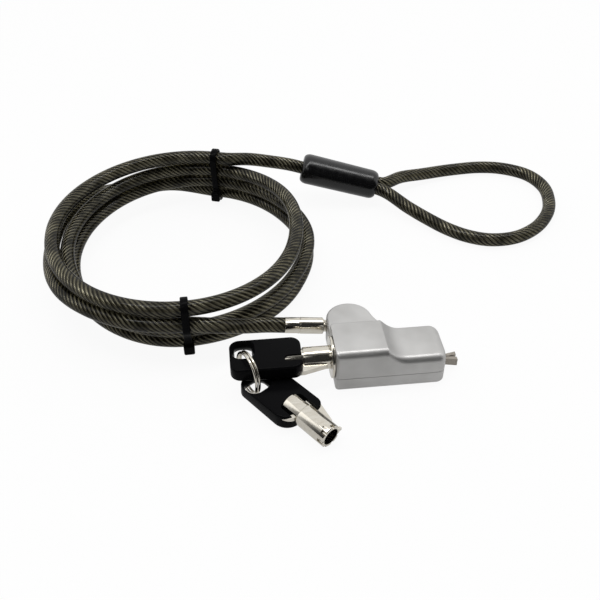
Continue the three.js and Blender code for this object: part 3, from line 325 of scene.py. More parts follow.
# How far a cutter goes on past a face that it opens.
PAST = 1
# How edges are softened: width, segments, and the angle past which an edge is softened.
METAL_EDGE, FERRULE_EDGE = (0.12, 2, 40), (0.12, 2, 25)
GRIP_EDGE, SLEEVE_EDGE = (0.18, 3, 40), (0.25, 3, 50)


def make_object(name, vertices, faces, material, sharp):
    mesh = bpy.data.meshes.new(name)
    mesh.from_pydata([tuple(Vector(v) * MM) for v in vertices], [], faces)
    mesh.validate()
    mesh.shade_smooth()
    mesh.set_sharp_from_angle(angle=sharp * DEG)
    if material:
        mesh.materials.append(material)
    obj = bpy.data.objects.new(name, mesh)
    bpy.context.scene.collection.objects.link(obj)
    return obj


def skin(name, rings, material, sharp=35, loop=False):
    """A skin over rings of as many points each. It ends in two faces, or closes in a loop."""
    count = len(rings[0])
    vertices = [p for ring in rings for p in ring]
    faces = []
    for i in range(len(rings) if loop else len(rings) - 1):
        near, far = i * count, (i + 1) % len(rings) * count
        for j in range(count):
            k = (j + 1) % count
            faces.append((near + j, near + k, far + k, far + j))
    if not loop:
        faces.append(tuple(reversed(range(count))))
        faces.append(tuple(range(len(vertices) - count, len(vertices))))
    obj = make_object(name, vertices, faces, material, sharp)
    fix_normals(obj)
    return obj


def fix_normals(obj):
    bm = bmesh.new()
    bm.from_mesh(obj.data)
    bmesh.ops.recalc_face_normals(bm, faces=bm.faces)
    bm.to_mesh(obj.data)
    bm.free()


def round_ring(centre, side, up, radius, count):
    """Points round the centre, from side towards up."""
    angles = [2 * math.pi * k / count for k in range(count)]
    return [centre + side * radius * math.cos(a) + up * radius * math.sin(a) for a in angles]


def turned(name, profile, origin, direction, material, segments=72):
    """A lathe piece. profile is [(distance along direction, radius)], from one end to the other."""
    axis = Vector(direction).normalized()
    side = axis.orthogonal().normalized()
    up = axis.cross(side)
    rings = []
    for along, radius in profile:
        centre = Vector(origin) + axis * along
        rings.append(round_ring(centre, side, up, max(radius, LEAST_RADIUS), segments))
    return skin(name, rings, material)


def box_piece(name, low, high, material=None):
    (x0, y0, z0), (x1, y1, z1) = low, high
    ring = [(x0, y0), (x1, y0), (x1, y1), (x0, y1)]
    return skin(name, [[(x, y, z0) for x, y in ring], [(x, y, z1) for x, y in ring]], material)


def apply_modifiers(obj):
    bpy.context.view_layer.update()
    depsgraph = bpy.context.evaluated_depsgraph_get()
    mesh = bpy.data.meshes.new_from_object(obj.evaluated_get(depsgraph))
    obj.modifiers.clear()
    obj.data = mesh


def combine(obj, other, operation):
    """Joins another object to obj, cuts it away or keeps what they share, and deletes the other."""
    modifier = obj.modifiers.new("combine", "BOOLEAN")
    modifier.operation = operation
    modifier.solver = "EXACT"
    modifier.object = other
    apply_modifiers(obj)
    bpy.data.objects.remove(other)


def soften(obj, width, segments, angle):
    """Rounds the edges at which the faces turn by more than the angle."""
    modifier = obj.modifiers.new("bevel", "BEVEL")
    modifier.width = width * MM
    modifier.segments = segments
    modifier.limit_method = "ANGLE"
    modifier.angle_limit = angle * DEG
    modifier.harden_normals = True
    apply_modifiers(obj)


def place(obj, matrix):
    """Moves the mesh itself. The matrix is in millimetres."""
    moved = matrix.copy()
    moved.translation = matrix.translation * MM
    obj.data.transform(moved)


def arc(cx, cy, radius, start, end, steps):
    """Points of an arc, from one angle in degrees to another."""
    angles = [(start + (end - start) * i / steps) * DEG for i in range(steps + 1)]
    return [(cx + radius * math.cos(a), cy + radius * math.sin(a)) for a in angles]


def rounded_rectangle(x0, x1, y0, y1, radius, steps=12):
    return [
        *arc(x1 - radius, y0 + radius, radius, -90, 0, steps),
        *arc(x1 - radius, y1 - radius, radius, 0, 90, steps),
        *arc(x0 + radius, y1 - radius, radius, 90, 180, steps),
        *arc(x0 + radius, y0 + radius, radius, 180, 270, steps),
    ]


def prism(name, outline, low, high, material):
    return skin(name, [[(x, y, z) for x, y in outline] for z in (low, high)], material)


def rod(name, radius, start, end, material, y=0, z=0, edge=0.0, segments=96):
    """A round bar along x. Its ends are rounded off by edge."""
    length = end - start
    profile = [(0, radius), (length, radius)]
    if edge:
        angles = [a * DEG for a in range(0, 91, 18)]
        near = [(edge * (1 - math.cos(a)), radius - edge * (1 - math.sin(a))) for a in angles]
        profile = [(0, 0), *near, *[(length - along, r) for along, r in reversed(near)], (length, 0)]
    return turned(name, profile, (start, y, z), (1, 0, 0), material, segments)


def slab(name, outline, layers, material):
    """Stacks an outline: layers are [(z, inset)], and the outline is a function of the inset."""
    return skin(name, [[(x, y, z) for x, y in outline(inset)] for z, inset in layers], material)


def rounded_layers(bottom, top, radius):
    """[(z, inset)] for a slab with rounded edges."""
    steps = 6
    angles = [i * math.pi / 2 / steps for i in range(steps + 1)]
    low = [(bottom + radius * (1 - math.cos(a)), radius * (1 - math.sin(a))) for a in angles]
    high = [(bottom + top - z, inset) for z, inset in reversed(low)]
    return low + high


def finish_piece(obj, body, slot, *nodes):
    """Puts the piece on its body, in place of the plain solids of those nodes."""
    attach(obj, body)
    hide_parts(*nodes)


# ---- housing ----
BLOCK_LEFT, NOSE_RIGHT = -18.7, 18.7
BODY_FRONT, BODY_BACK = -8, 8.8
BLOCK_HEIGHT, NOSE_HEIGHT = 15.8, 11.6
# The scoop's fall is steepest near its shoulder, because its bend is less than 1.
SCOOP_START, SCOOP_LENGTH, SHOULDER, SCOOP_BEND = -0.8, 6.4, 0.8, 0.58
NOSE_CORNER, BLOCK_CORNER = 3.2, 1.2
# How far the top comes down in the nose's corners, as a share of what the sides come in.
NOSE_FALL = 0.5
TOP_EDGE_FRONT, TOP_EDGE_BACK, BOTTOM_EDGE = 2.6, 1.1, 0.7
BLOCK_STATIONS, NOSE_STATIONS = (-14, -10, -6, -3), (8, 11, 14)
PARTING_HEIGHT, HALF_SEAM = 5, 0.07
EAR_RADIUS, EAR_HEIGHT, EAR_Y, EAR_EDGE, EAR_ROOT = 8.1, 10.4, 17, 0.9, 3
# The flank leaves the body's back at FLANK_END and meets the ear's round end at FLANK_ANGLE.
FLANK_END, FLANK_ANGLE, FLANK_PULL, FLANK_LEAD, FLANK_OVERLAP = 9, 15, 5, 0.7, 0.02
KEY_AXIS_HEIGHT = 8.2
SWIVEL_CENTRE = Vector((-12.5, 18, 5.6))
SWIVEL_TILT = 6.5
SWIVEL_AXIS = Vector((-math.cos(SWIVEL_TILT * DEG), 0, math.sin(SWIVEL_TILT * DEG)))
# Hollows: round ones have (radius, start, end), the seat a profile, and the flat ones two corners.
CYLINDER_ROOM, CAM_ROOM = (6.6, -19.7, -7.1), (4.4, -7.7, 0.3)
SEAT_RADIUS, SEAT_SWEEP, SEAT_MOUTH = 3.15, 2.2, ((5.5, 2.5), (7.3, 3.2))
BLADE_CAVITY = ((-7.2, -4, 1.2), (15.7, 4, 4.6))
BLADE_SLOT = ((15, -2.6, 1.2), (20, 2.6, 4.6))


def body_height(x):
    """The scoop falls from a rounded shoulder and runs out flat on the nose."""
    length = SCOOP_LENGTH + SHOULDER
    along = min(max((x - SCOOP_START + SHOULDER) / length, 0), 1)
    fall = math.sin(math.pi / 2 * along**SCOOP_BEND) ** 2
    return BLOCK_HEIGHT - (BLOCK_HEIGHT - NOSE_HEIGHT) * fall


def end_inset(distance, radius):
    """How far a round corner comes in, at a distance from the end that it rounds off."""
    if distance >= radius:
        return 0
    return radius - math.sqrt(radius**2 - (radius - distance) ** 2)


def body_ring(x):
    """The body's outline across its length, with a softer edge along the front of the top."""
    inset = end_inset(x - BLOCK_LEFT, BLOCK_CORNER) + end_inset(NOSE_RIGHT - x, NOSE_CORNER)
    front, back = BODY_FRONT + inset, BODY_BACK - inset
    top = body_height(x) - NOSE_FALL * end_inset(NOSE_RIGHT - x, NOSE_CORNER)
    outline = [
        *arc(back - BOTTOM_EDGE, BOTTOM_EDGE, BOTTOM_EDGE, -90, 0, 6),
        *arc(back - TOP_EDGE_BACK, top - TOP_EDGE_BACK, TOP_EDGE_BACK, 0, 90, 8),
        *arc(front + TOP_EDGE_FRONT, top - TOP_EDGE_FRONT, TOP_EDGE_FRONT, 90, 180, 16),
        *arc(front + BOTTOM_EDGE, BOTTOM_EDGE, BOTTOM_EDGE, 180, 270, 6),
    ]
    return [(x, y, z) for y, z in outline]


def body_stations():
    """Where along x the outlines stand, close together at the ends and in the scoop."""
    stations = [BLOCK_LEFT + BLOCK_CORNER * (1 - math.cos(i * math.pi / 16)) for i in range(9)]
    stations += BLOCK_STATIONS
    stations += [SCOOP_START - SHOULDER + (SCOOP_LENGTH + SHOULDER) * i / 36 for i in range(37)]
    stations += NOSE_STATIONS
    ends = [NOSE_CORNER * (1 - math.cos(i * math.pi / 24)) for i in range(12, -1, -1)]
    return stations + [NOSE_RIGHT - end for end in ends]


def bezier(corners, steps):
    """A cubic curve from the first corner to the last."""
    points = []
    for i in range(steps + 1):
        t = i / steps
        weights = ((1 - t) ** 3, 3 * t * (1 - t) ** 2, 3 * t * t * (1 - t), t**3)
        points.append(tuple(sum(w * p[k] for w, p in zip(weights, corners)) for k in range(2)))
    return points


def ear_outline(inset):
    """A round end whose flank runs out along the body's back, with its root inside the body."""
    centre_x, radius = BLOCK_LEFT + EAR_RADIUS, EAR_RADIUS - inset
    cosine, sine = math.cos(FLANK_ANGLE * DEG), math.sin(FLANK_ANGLE * DEG)
    flank_x, flank_y = centre_x + radius * cosine, EAR_Y + radius * sine
    root, edge = BODY_BACK - EAR_ROOT, BODY_BACK - FLANK_OVERLAP - inset
    flank = (
        (FLANK_END, edge),
        ((FLANK_END + flank_x) / 2 - FLANK_LEAD, edge),
        (flank_x + FLANK_PULL * sine, flank_y - FLANK_PULL * cosine),
        (flank_x, flank_y),
    )
    points = [(BLOCK_LEFT + inset, root), (FLANK_END, root), *bezier(flank, 24)]
    return points + arc(centre_x, EAR_Y, radius, FLANK_ANGLE, 180, 48)[1:]


def swivel_seat(material):
    """Room for the stem's ball and for its neck on the way out of the ear."""
    steps = 12
    angles = [SEAT_SWEEP * i / steps for i in range(steps + 1)]
    ball = [(-SEAT_RADIUS * math.cos(a), SEAT_RADIUS * math.sin(a)) for a in angles]
    return turned("seat", [*ball, *SEAT_MOUTH], SWIVEL_CENTRE, SWIVEL_AXIS, material, 48)


def make_housing(material):
    upper = skin("body", [body_ring(x) for x in body_stations()], material)
    ear = slab("ear", ear_outline, rounded_layers(0, EAR_HEIGHT, EAR_EDGE), material)
    combine(upper, ear, "UNION")
    hollows = [
        rod("bore", *CYLINDER_ROOM, material, z=KEY_AXIS_HEIGHT, segments=72),
        rod("chamber", *CAM_ROOM, material, z=KEY_AXIS_HEIGHT, segments=72),
        swivel_seat(material),
        box_piece("cavity", *BLADE_CAVITY, material),
        box_piece("slot", *BLADE_SLOT, material),
    ]
    for hollow in hollows:
        combine(upper, hollow, "DIFFERENCE")
    lower = upper.copy()
    lower.data = upper.data.copy()
    bpy.context.scene.collection.objects.link(lower)
    upper.name, lower.name = "housing_upper", "housing_lower"
    reach = 60
    for piece, node, low, high in (
        (upper, "upper_shell", PARTING_HEIGHT + HALF_SEAM, reach),
        (lower, "lower_shell", -1, PARTING_HEIGHT - HALF_SEAM),
    ):
        combine(piece, box_piece("half", (-reach, -reach, low), (reach, reach, high)), "INTERSECT")
        piece.data.materials.clear()
        piece.data.materials.append(material)
        soften(piece, *METAL_EDGE)
        finish_piece(piece, "housing", "satin_zinc", node)


# ---- cable ----
CABLE_DIAMETER, CABLE_SIDES = 5.5, 20
COIL_CENTRE = (-69, 67.5)
STRAND_LOW, STRAND_PITCH = 4.05, 6
BACK_TIE, FRONT_TIE = 72.5, 272
# Where the strands lie: whole turns and azimuth, radius, and height in strands above the lowest.
COIL_SEATS = [
    (360 * loops + azimuth, radius, level)
    for loops, azimuth, radius, level in (
        (0, BACK_TIE, 49, 3),
        (0, 180, 48.2, 2.75),
        (0, FRONT_TIE, 53.2, 2.95),
        (0, 357, 44.8, 2.6),
        (1, BACK_TIE, 49.4, 2),
        (1, 180, 43.6, 1.7),
        (1, FRONT_TIE, 50.2, 1),
        (1, 333, 48.2, 1),
        (2, 11, 49.9, 1),
        (2, BACK_TIE, 50.2, 1),
        (2, 180, 42.6, 0.66),
        (2, FRONT_TIE, 48.6, 0),
        (2, 333, 47.6, -0.1),
        (3, 9, 49.6, -0.1),
        (3, BACK_TIE, 51.6, 0),
        (3, 102, 55, 0.3),
        (3, 135, 53.4, 1.3),
        (3, 180, 49.6, 1.7),
        (3, 226, 52.8, 1.9),
        (3, FRONT_TIE, 54.7, 2),
        (3, 277, 55.4, 1.93),
    )
]
FRONT_TAIL_ROUTE = [(-47.5, 16.1, 10.7)]
BACK_TAIL_ROUTE = [(-39.4, 116, 19.6), (-31, 116.2, 17.9)]
EYE_ROUTE = [
    (29.4, 117, 5.5),
    (40.4, 121.3, 3.9),
    (55.2, 125.2, 2.95),
    (69.7, 126.2, 2.8),
    (80.2, 123.7, 2.8),
    (89.4, 116.9, 2.8),
    (93.3, 105.7, 2.8),
    (90.6, 91, 2.8),
    (85.2, 81.3, 2.8),
    (77.3, 73.3, 2.8),
    (67.4, 68.3, 2.8),
    (57, 67.9, 2.8),
    (48.6, 71.4, 2.8),
    (41.2, 77.7, 2.85),
    (34.4, 85.6, 3.3),
    (28, 93.2, 4.3),
]
SLEEVE_START, SLEEVE_END = Vector((-16.3, 114.9, 14.6)), Vector((15.6, 108.4, 7.4))
SLEEVE_LENGTH, STRAND_OFFSET, SLEEVE_MOUTH = 34, 3, 3.5
FERRULE_START, FERRULE_LENGTH, FERRULE_RADIUS, CRIMP_LENGTH = 7.3, 13.8, 2.95, 5.3
# Straight runs: behind the ferrule, at the coil's ends and before the sleeve, from the sleeve into
# the eye, and how much sooner than the other strand the cable ends in the sleeve.
FERRULE_RUN, STRAIGHT_RUN, EYE_RUN, SHORT_END = 6, 5.5, 2.75, 6
CURVE_SPACING, RING_SPACING = 0.8, 1.1


def sleeve_matrix():
    ahead = (SLEEVE_END - SLEEVE_START).normalized()
    yaw = Matrix.Rotation(math.atan2(ahead.y, ahead.x), 4, "Z")
    pitch = Matrix.Rotation(-math.asin(ahead.z), 4, "Y")
    return Matrix.Translation(SLEEVE_START) @ (yaw @ pitch)


SLEEVE = sleeve_matrix()


def sleeve_point(x, y):
    """A point given along and across the sleeve."""
    return SLEEVE @ Vector((x, y, 0))


def coil_point(azimuth):
    """The middle of the coiled cable. The azimuth counts on past 360 degrees, one turn a strand."""
    i = 0
    while i + 2 < len(COIL_SEATS) and azimuth > COIL_SEATS[i + 1][0]:
        i += 1
    (a0, r0, n0), (a1, r1, n1) = COIL_SEATS[i], COIL_SEATS[i + 1]
    share = (1 - math.cos(math.pi * (azimuth - a0) / (a1 - a0))) / 2
    radius = r0 + (r1 - r0) * share
    height = STRAND_LOW + STRAND_PITCH * (n0 + (n1 - n0) * share)
    x = COIL_CENTRE[0] + radius * math.cos(azimuth * DEG)
    y = COIL_CENTRE[1] + radius * math.sin(azimuth * DEG)
    return Vector((x, y, height))


def catmull_rom(points, spacing):
    """A centripetal Catmull-Rom curve through the points, sampled at about the given spacing."""
    points = [Vector(p) for p in points]
    ends = [2 * points[0] - points[1], 2 * points[-1] - points[-2]]
    padded = [ends[0], *points, ends[1]]
    result = []
    for p0, p1, p2, p3 in zip(padded, padded[1:], padded[2:], padded[3:]):
        knots = [0.0]
        for a, b in ((p0, p1), (p1, p2), (p2, p3)):
            knots.append(knots[-1] + max((b - a).length, 1e-6) ** 0.5)
        t0, t1, t2, t3 = knots
        steps = max(1, round((p2 - p1).length / spacing))
        for i in range(steps):
            t = t1 + (t2 - t1) * i / steps
            a1 = p0.lerp(p1, (t - t0) / (t1 - t0))
            a2 = p1.lerp(p2, (t - t1) / (t2 - t1))
            a3 = p2.lerp(p3, (t - t2) / (t3 - t2))
            b1 = a1.lerp(a2, (t - t0) / (t2 - t0))
            b2 = a2.lerp(a3, (t - t1) / (t3 - t1))
            result.append(b1.lerp(b2, (t - t1) / (t2 - t1)))
    return [*result, points[-1]]


def cable_route():
    """The middle of the whole cable, from the ferrule to its end in the sleeve, evenly sampled."""
    start, end = COIL_SEATS[0][0], COIL_SEATS[-1][0]
    steps = 400
    coil = [coil_point(end + (start - end) * i / steps) for i in range(steps + 1)]
    crimp = FERRULE_START + FERRULE_LENGTH - CRIMP_LENGTH
    distances = (0, CRIMP_LENGTH, CRIMP_LENGTH + FERRULE_RUN)
    points = [
        *[SWIVEL_CENTRE + SWIVEL_AXIS * (crimp + distance) for distance in distances],
        *FRONT_TAIL_ROUTE,
        coil[0] + (coil[0] - coil[1]).normalized() * STRAIGHT_RUN,
        *coil,
        coil[-1] + (coil[-1] - coil[-2]).normalized() * STRAIGHT_RUN,
        *BACK_TAIL_ROUTE,
        sleeve_point(-STRAIGHT_RUN, 0),
        sleeve_point(SLEEVE_MOUTH, 0),
        sleeve_point(SLEEVE_LENGTH / 2, STRAND_OFFSET / 2),
        sleeve_point(SLEEVE_LENGTH - SLEEVE_MOUTH, STRAND_OFFSET),
        sleeve_point(SLEEVE_LENGTH + EYE_RUN, STRAND_OFFSET),
        *EYE_ROUTE,
        sleeve_point(SLEEVE_LENGTH + EYE_RUN, -STRAND_OFFSET),
        sleeve_point(SLEEVE_LENGTH - SLEEVE_MOUTH - SHORT_END, -STRAND_OFFSET),
    ]
    return resample(catmull_rom(points, CURVE_SPACING), RING_SPACING)


def resample(points, spacing):
    """The same line with its points about the given spacing apart."""
    lengths = [0.0]
    for a, b in zip(points, points[1:]):
        lengths.append(lengths[-1] + (b - a).length)
    count = round(lengths[-1] / spacing)
    result, i = [], 0
    for k in range(count + 1):
        target = lengths[-1] * k / count
        while i + 2 < len(lengths) and lengths[i + 1] < target:
            i += 1
        share = (target - lengths[i]) / max(lengths[i + 1] - lengths[i], 1e-9)
        result.append(points[i].lerp(points[i + 1], min(share, 1)))
    return result


def cable_rings(route):
    """Cross-sections that turn no more than the route does, and how far along it each one is."""
    side = Vector((0, 0, 1)).cross(route[1] - route[0]).normalized()
    rings, distances = [], [0.0]
    for i, point in enumerate(route):
        ahead = (route[min(i + 1, len(route) - 1)] - route[max(i - 1, 0)]).normalized()
        side = (side - ahead * side.dot(ahead)).normalized()
        rings.append(round_ring(point, side, ahead.cross(side), CABLE_DIAMETER / 2, CABLE_SIDES))
        if i:
            distances.append(distances[-1] + (point - route[i - 1]).length)
    return rings, distances


def map_lay(cable, distances):
    """UVs along the cable in turns of the lay, and round it in whole turns."""
    layer = cable.data.uv_layers.new(name="lay")
    half = CABLE_SIDES / 2
    for polygon in cable.data.polygons:
        sides = [vertex % CABLE_SIDES for vertex in polygon.vertices]
        wraps = max(sides) - min(sides) > half
        for loop, vertex, side in zip(polygon.loop_indices, polygon.vertices, sides):
            around = (side + CABLE_SIDES if wraps and side < half else side) / CABLE_SIDES
            along = distances[vertex // CABLE_SIDES] * MM / LAY_LENGTH
            layer.data[loop].uv = (along, around)


def make_cable(material):
    route = cable_route()
    rings, distances = cable_rings(route)
    cable = skin("cable", rings, material, 60)
    map_lay(cable, distances)
    nodes = ("cable_coil", "cable_front_tail", "cable_back_tail", "cable_eye")
    finish_piece(cable, "housing", "cable_jacket", *nodes)
    return cable, route, distances[-1]


# ---- sleeve ----
SLEEVE_WIDTH, SLEEVE_HEIGHT, SLEEVE_TAPER = 15, 12.6, 0.06
SLEEVE_ROUNDING, SLEEVE_DRAW_IN, SLEEVE_CLEARANCE = 3, 1.3, 0.3
SLEEVE_STATIONS = (8, 13, 18, 23, 28)
# Holes for the cable as (y, start, end), and the room for the crimp as (radius, start, end).
SLEEVE_HOLES = ((0, -1, 12), (STRAND_OFFSET, 20, 36), (-STRAND_OFFSET, 20, 36))
CRIMP_ROOM = (4.8, 3.2, 30.8)


def sleeve_ring(x):
    steps = 64
    inset = SLEEVE_DRAW_IN * end_inset(min(x, SLEEVE_LENGTH - x), SLEEVE_ROUNDING)
    swell = 1 - SLEEVE_TAPER * x / SLEEVE_LENGTH
    width, height = SLEEVE_WIDTH * swell - inset, SLEEVE_HEIGHT * swell - inset
    angles = [2 * math.pi * k / steps for k in range(steps)]
    return [(x, width / 2 * math.cos(a), height / 2 * math.sin(a)) for a in angles]


def make_sleeve(material):
    ends = [SLEEVE_ROUNDING * (1 - math.cos(i * math.pi / 16)) for i in range(9)]
    stations = [*ends, *SLEEVE_STATIONS, *[SLEEVE_LENGTH - e for e in reversed(ends)]]
    sleeve = skin("sleeve", [sleeve_ring(x) for x in stations], material, 40)
    radius = CABLE_DIAMETER / 2 + SLEEVE_CLEARANCE
    for y, start, end in SLEEVE_HOLES:
        combine(sleeve, rod("hole", radius, start, end, material, y, segments=40), "DIFFERENCE")
    combine(sleeve, rod("room", *CRIMP_ROOM, material, segments=40), "DIFFERENCE")
    soften(sleeve, *SLEEVE_EDGE)
    place(sleeve, SLEEVE)
    finish_piece(sleeve, "housing", "black_plastic", "sleeve_boot")
    return sleeve


# ---- ferrule ----
CRIMP_SIDES, CRIMP_FLAT_DISTANCE = 6, FERRULE_RADIUS * 0.945
CRIMP_LEAD, CRIMP_CUTTER_REACH, CRIMP_CUTTER_HALF_WIDTH = 0.4, 6, 3


def ferrule_profile(crimp, end):
    """A softened mouth, a body, the step to the crimp, and the crimp's drawn-in end."""
    start = FERRULE_START
    drops = [
        (start, 1.4),
        (start, 0.4),
        (start + 0.12, 0.12),
        (start + 0.35, 0),
        (crimp - 0.3, 0),
        (crimp - 0.2, 0.12),
        (crimp, 0.12),
        (crimp + 0.1, 0.02),
        (end - 0.4, 0.02),
        (end - 0.15, 0.1),
        (end, 0.3),
        (end, 0.35),
    ]
    return [(along, FERRULE_RADIUS - drop) for along, drop in drops]


def crimp_cutter(k, start, end, material):
    """A block whose inner face leaves one flat of the crimp."""
    turn = Matrix.Rotation(k * 360 / CRIMP_SIDES * DEG, 3, SWIVEL_AXIS)
    out = turn @ SWIVEL_AXIS.orthogonal().normalized()
    across = SWIVEL_AXIS.cross(out)
    near, far, half = CRIMP_FLAT_DISTANCE, CRIMP_CUTTER_REACH, CRIMP_CUTTER_HALF_WIDTH
    corners = ((near, -half), (near, half), (far, half), (far, -half))
    rings = []
    for along in (start, end):
        base = SWIVEL_CENTRE + SWIVEL_AXIS * along
        rings.append([base + out * reach + across * wide for reach, wide in corners])
    return skin("flat", rings, material)


def make_ferrule(material):
    end = FERRULE_START + FERRULE_LENGTH
    crimp = end - CRIMP_LENGTH
    profile = ferrule_profile(crimp, end)
    ferrule = turned("ferrule", profile, SWIVEL_CENTRE, SWIVEL_AXIS, material, 96)
    for k in range(CRIMP_SIDES):
        combine(ferrule, crimp_cutter(k, crimp + CRIMP_LEAD, end + PAST, material), "DIFFERENCE")
    soften(ferrule, *FERRULE_EDGE)
    finish_piece(ferrule, "cable_end", "polished_nickel", "cable_ferrule")


# ---- ties ----
TIE_WIDTH, TIE_THICKNESS, TIE_CLEARANCE, TIE_EDGE = 2.6, 0.77, 0.52, 0.28
# A tie's head and the cut end of its strap: the nearest and farthest from the strands, the half
# width, the bottom and top above the lowest strand, and how the edges are rounded.
TIE_BLOCKS = (
    (0.12, 3.6, TIE_WIDTH / 2 + 0.6, -1.7, 2.3, (0.6, 4, 30)),
    (1.4, 2.3, 1, 2, 4, (0.2, 2, 30)),
)


def strap_rings(centres, inner):
    """Rounded cross-sections of a strap pulled tight round the strands, in its own plane."""
    steps = 72
    angles = [2 * math.pi * i / steps for i in range(steps)]
    turns = [Vector((math.cos(a), math.sin(a))) for a in angles]
    spots = [(centre, turn) for centre in centres for turn in turns]
    hull = convex_hull_2d([centre + turn * inner for centre, turn in spots])
    half = TIE_WIDTH / 2
    section = rounded_rectangle(0, TIE_THICKNESS, -half, half, TIE_EDGE, 4)
    rings = []
    for index in hull:
        centre, turn = spots[index]
        points = [(centre + turn * (inner + out), across) for out, across in section]
        rings.append([(point.x, across, point.y) for point, across in points])
    return rings


def make_tie(name, azimuth, head_side, node, material):
    """head_side is 1 for a head outside the coil and -1 for one inside it."""
    centres = []
    for loop in range(4):
        point = coil_point(azimuth + 360 * loop)
        reach = math.hypot(point.x - COIL_CENTRE[0], point.y - COIL_CENTRE[1])
        centres.append(Vector((reach, point.z)))
    inner = CABLE_DIAMETER / 2 + TIE_CLEARANCE
    strap = skin(name, strap_rings(centres, inner), material, 50, loop=True)
    lowest = min(centres, key=lambda centre: centre.y)
    edge = lowest.x + head_side * inner
    for near, far, half, bottom, top, rounding in TIE_BLOCKS:
        x0, x1 = sorted((edge + head_side * near, edge + head_side * far))
        low, high = (x0, -half, lowest.y + bottom), (x1, half, lowest.y + top)
        block = box_piece("block", low, high, material)
        soften(block, *rounding)
        combine(strap, block, "UNION")
    turn = Matrix.Rotation(azimuth * DEG, 4, "Z")
    place(strap, Matrix.Translation((*COIL_CENTRE, 0)) @ turn)
    finish_piece(strap, "housing", "black_plastic", node)
    return strap


# ---- key cylinder ----
FLANGE_RADIUS, FLANGE_FRONT, FLANGE_BACK, MOUTH_DEPTH = 7.2, -19.8, -19, 1.4
BARREL_RADIUS, BARREL_BACK = 6.4, -7.4
MOUTH_RADIUS, CHAMBER_RADIUS = 4.15, 5
RIM_ROUNDING, MOUTH_CHAMFER, FLANGE_CHAMFER = 0.25, 0.15, 0.1
NUB_RADIUS, NUB_WIDTH, NUB_REACH_CLEARANCE, NUB_SIDE_CLEARANCE = 4.75, 1.1, 0.2, 0.25
NOTCH_OVERCUT = 0.5
PIN_X, PIN_ANGLE = -10, 5.5 * 360 / 7
PIN_HOLE_RADIUS, PIN_HOLE_FOOT, PIN_HOLE_LENGTH = 0.82, 4, 4


def barrel_profile():
    """(distance from the flange's front, radius), round the section and back to its start."""
    depth, length = FLANGE_BACK - FLANGE_FRONT, BARREL_BACK - FLANGE_FRONT
    chamfer = FLANGE_CHAMFER
    profile = [(MOUTH_DEPTH, MOUTH_RADIUS), (MOUTH_CHAMFER, MOUTH_RADIUS)]
    profile += [(0, MOUTH_RADIUS + MOUTH_CHAMFER)]
    for a in range(90, -1, -15):
        along, drop = 1 - math.sin(a * DEG), 1 - math.cos(a * DEG)
        profile.append((RIM_ROUNDING * along, FLANGE_RADIUS - RIM_ROUNDING * drop))
    profile += [(depth - chamfer, FLANGE_RADIUS), (depth, FLANGE_RADIUS - chamfer)]
    profile += [(depth, BARREL_RADIUS), (length, BARREL_RADIUS)]
    return profile + [(length, CHAMBER_RADIUS), (MOUTH_DEPTH, CHAMBER_RADIUS)]


def make_barrel(material):
    segments, profile = 120, barrel_profile()
    rings = []
    for k in range(segments):
        y, z = math.cos(2 * math.pi * k / segments), math.sin(2 * math.pi * k / segments)
        ring = [(FLANGE_FRONT + x, r * y, KEY_AXIS_HEIGHT + r * z) for x, r in profile]
        rings.append(ring)
    barrel = skin("barrel", rings, material, 40, loop=True)
    near, far = FLANGE_FRONT - NOTCH_OVERCUT, FLANGE_FRONT + MOUTH_DEPTH + NOTCH_OVERCUT
    reach, half = NUB_RADIUS + NUB_REACH_CLEARANCE, NUB_WIDTH / 2 + NUB_SIDE_CLEARANCE
    for (y0, z0), (y1, z1) in (((-reach, -half), (0, half)), ((-half, 0), (half, reach))):
        low, high = (near, y0, KEY_AXIS_HEIGHT + z0), (far, y1, KEY_AXIS_HEIGHT + z1)
        combine(barrel, box_piece("notch", low, high, material), "DIFFERENCE")
    out = Vector((0, math.cos(PIN_ANGLE * DEG), math.sin(PIN_ANGLE * DEG)))
    foot = Vector((PIN_X, 0, KEY_AXIS_HEIGHT)) + out * PIN_HOLE_FOOT
    profile = [(0, PIN_HOLE_RADIUS), (PIN_HOLE_LENGTH, PIN_HOLE_RADIUS)]
    combine(barrel, turned("pin_hole", profile, foot, out, material, 32), "DIFFERENCE")
    finish_piece(barrel, "housing", "polished_nickel", "lock_barrel")


# ---- keys ----
HEAD_LENGTH, HEAD_WIDTH, HEAD_CORNER, HEAD_EDGE = 24, 15, 3.4, 0.8
HEAD_TOP, HEAD_BOTTOM, LOBE_BOTTOM, LOBE_STEP, RIB_FLOOR = 3.9, -0.9, -1.7, 1, 1
HOLE_FROM_END, HOLE_OFFSET, HOLE_LENGTH, HOLE_WIDTH = 4.6, 2.8, 7.2, 5.8
HOLE_CORNER, HOLE_FLARE, HOLE_FLARE_BEND = 2.2, 1, 1.5
TUBE_RADIUS, BORE_RADIUS, TUBE_LENGTH, BORE_DEPTH, TUBE_EDGE = 3.95, 2.95, 12.2, 9, 0.3
NOTCH_LENGTH, ROOT_RADIUS, ROOT_CLEARANCE, GAP = 6.5, 3.5, 0.15, 0.3
TANG_LENGTH, TANG_HALF_WIDTH, TANG_STEP, TANG_THICKNESS = 8, 3.4, 1.6, 1.8
# Rooms in the head, as x0, x1, y0, y1 and corner radius.
NOTCH, RIB_ROOM = (-NOTCH_LENGTH - GAP, 4, -4.4, 4.4, 1.6), (-5.9, 4, -4.4, -1.5, 1.4)
FIN_THICKNESS, FIN_START, FIN_SETBACK, FIN_END = 1.8, -3, 0.7, TUBE_LENGTH - 4.1
FIN_RISE, FIN_TUBE_DEPTH, FIN_ROOT_DEPTH = 0.6, 0.7, 0.6
FIN_ROOM_START, FIN_ROOM_HALF_THICKNESS = -3.2, 1.1
NUB_LENGTH = 0.9
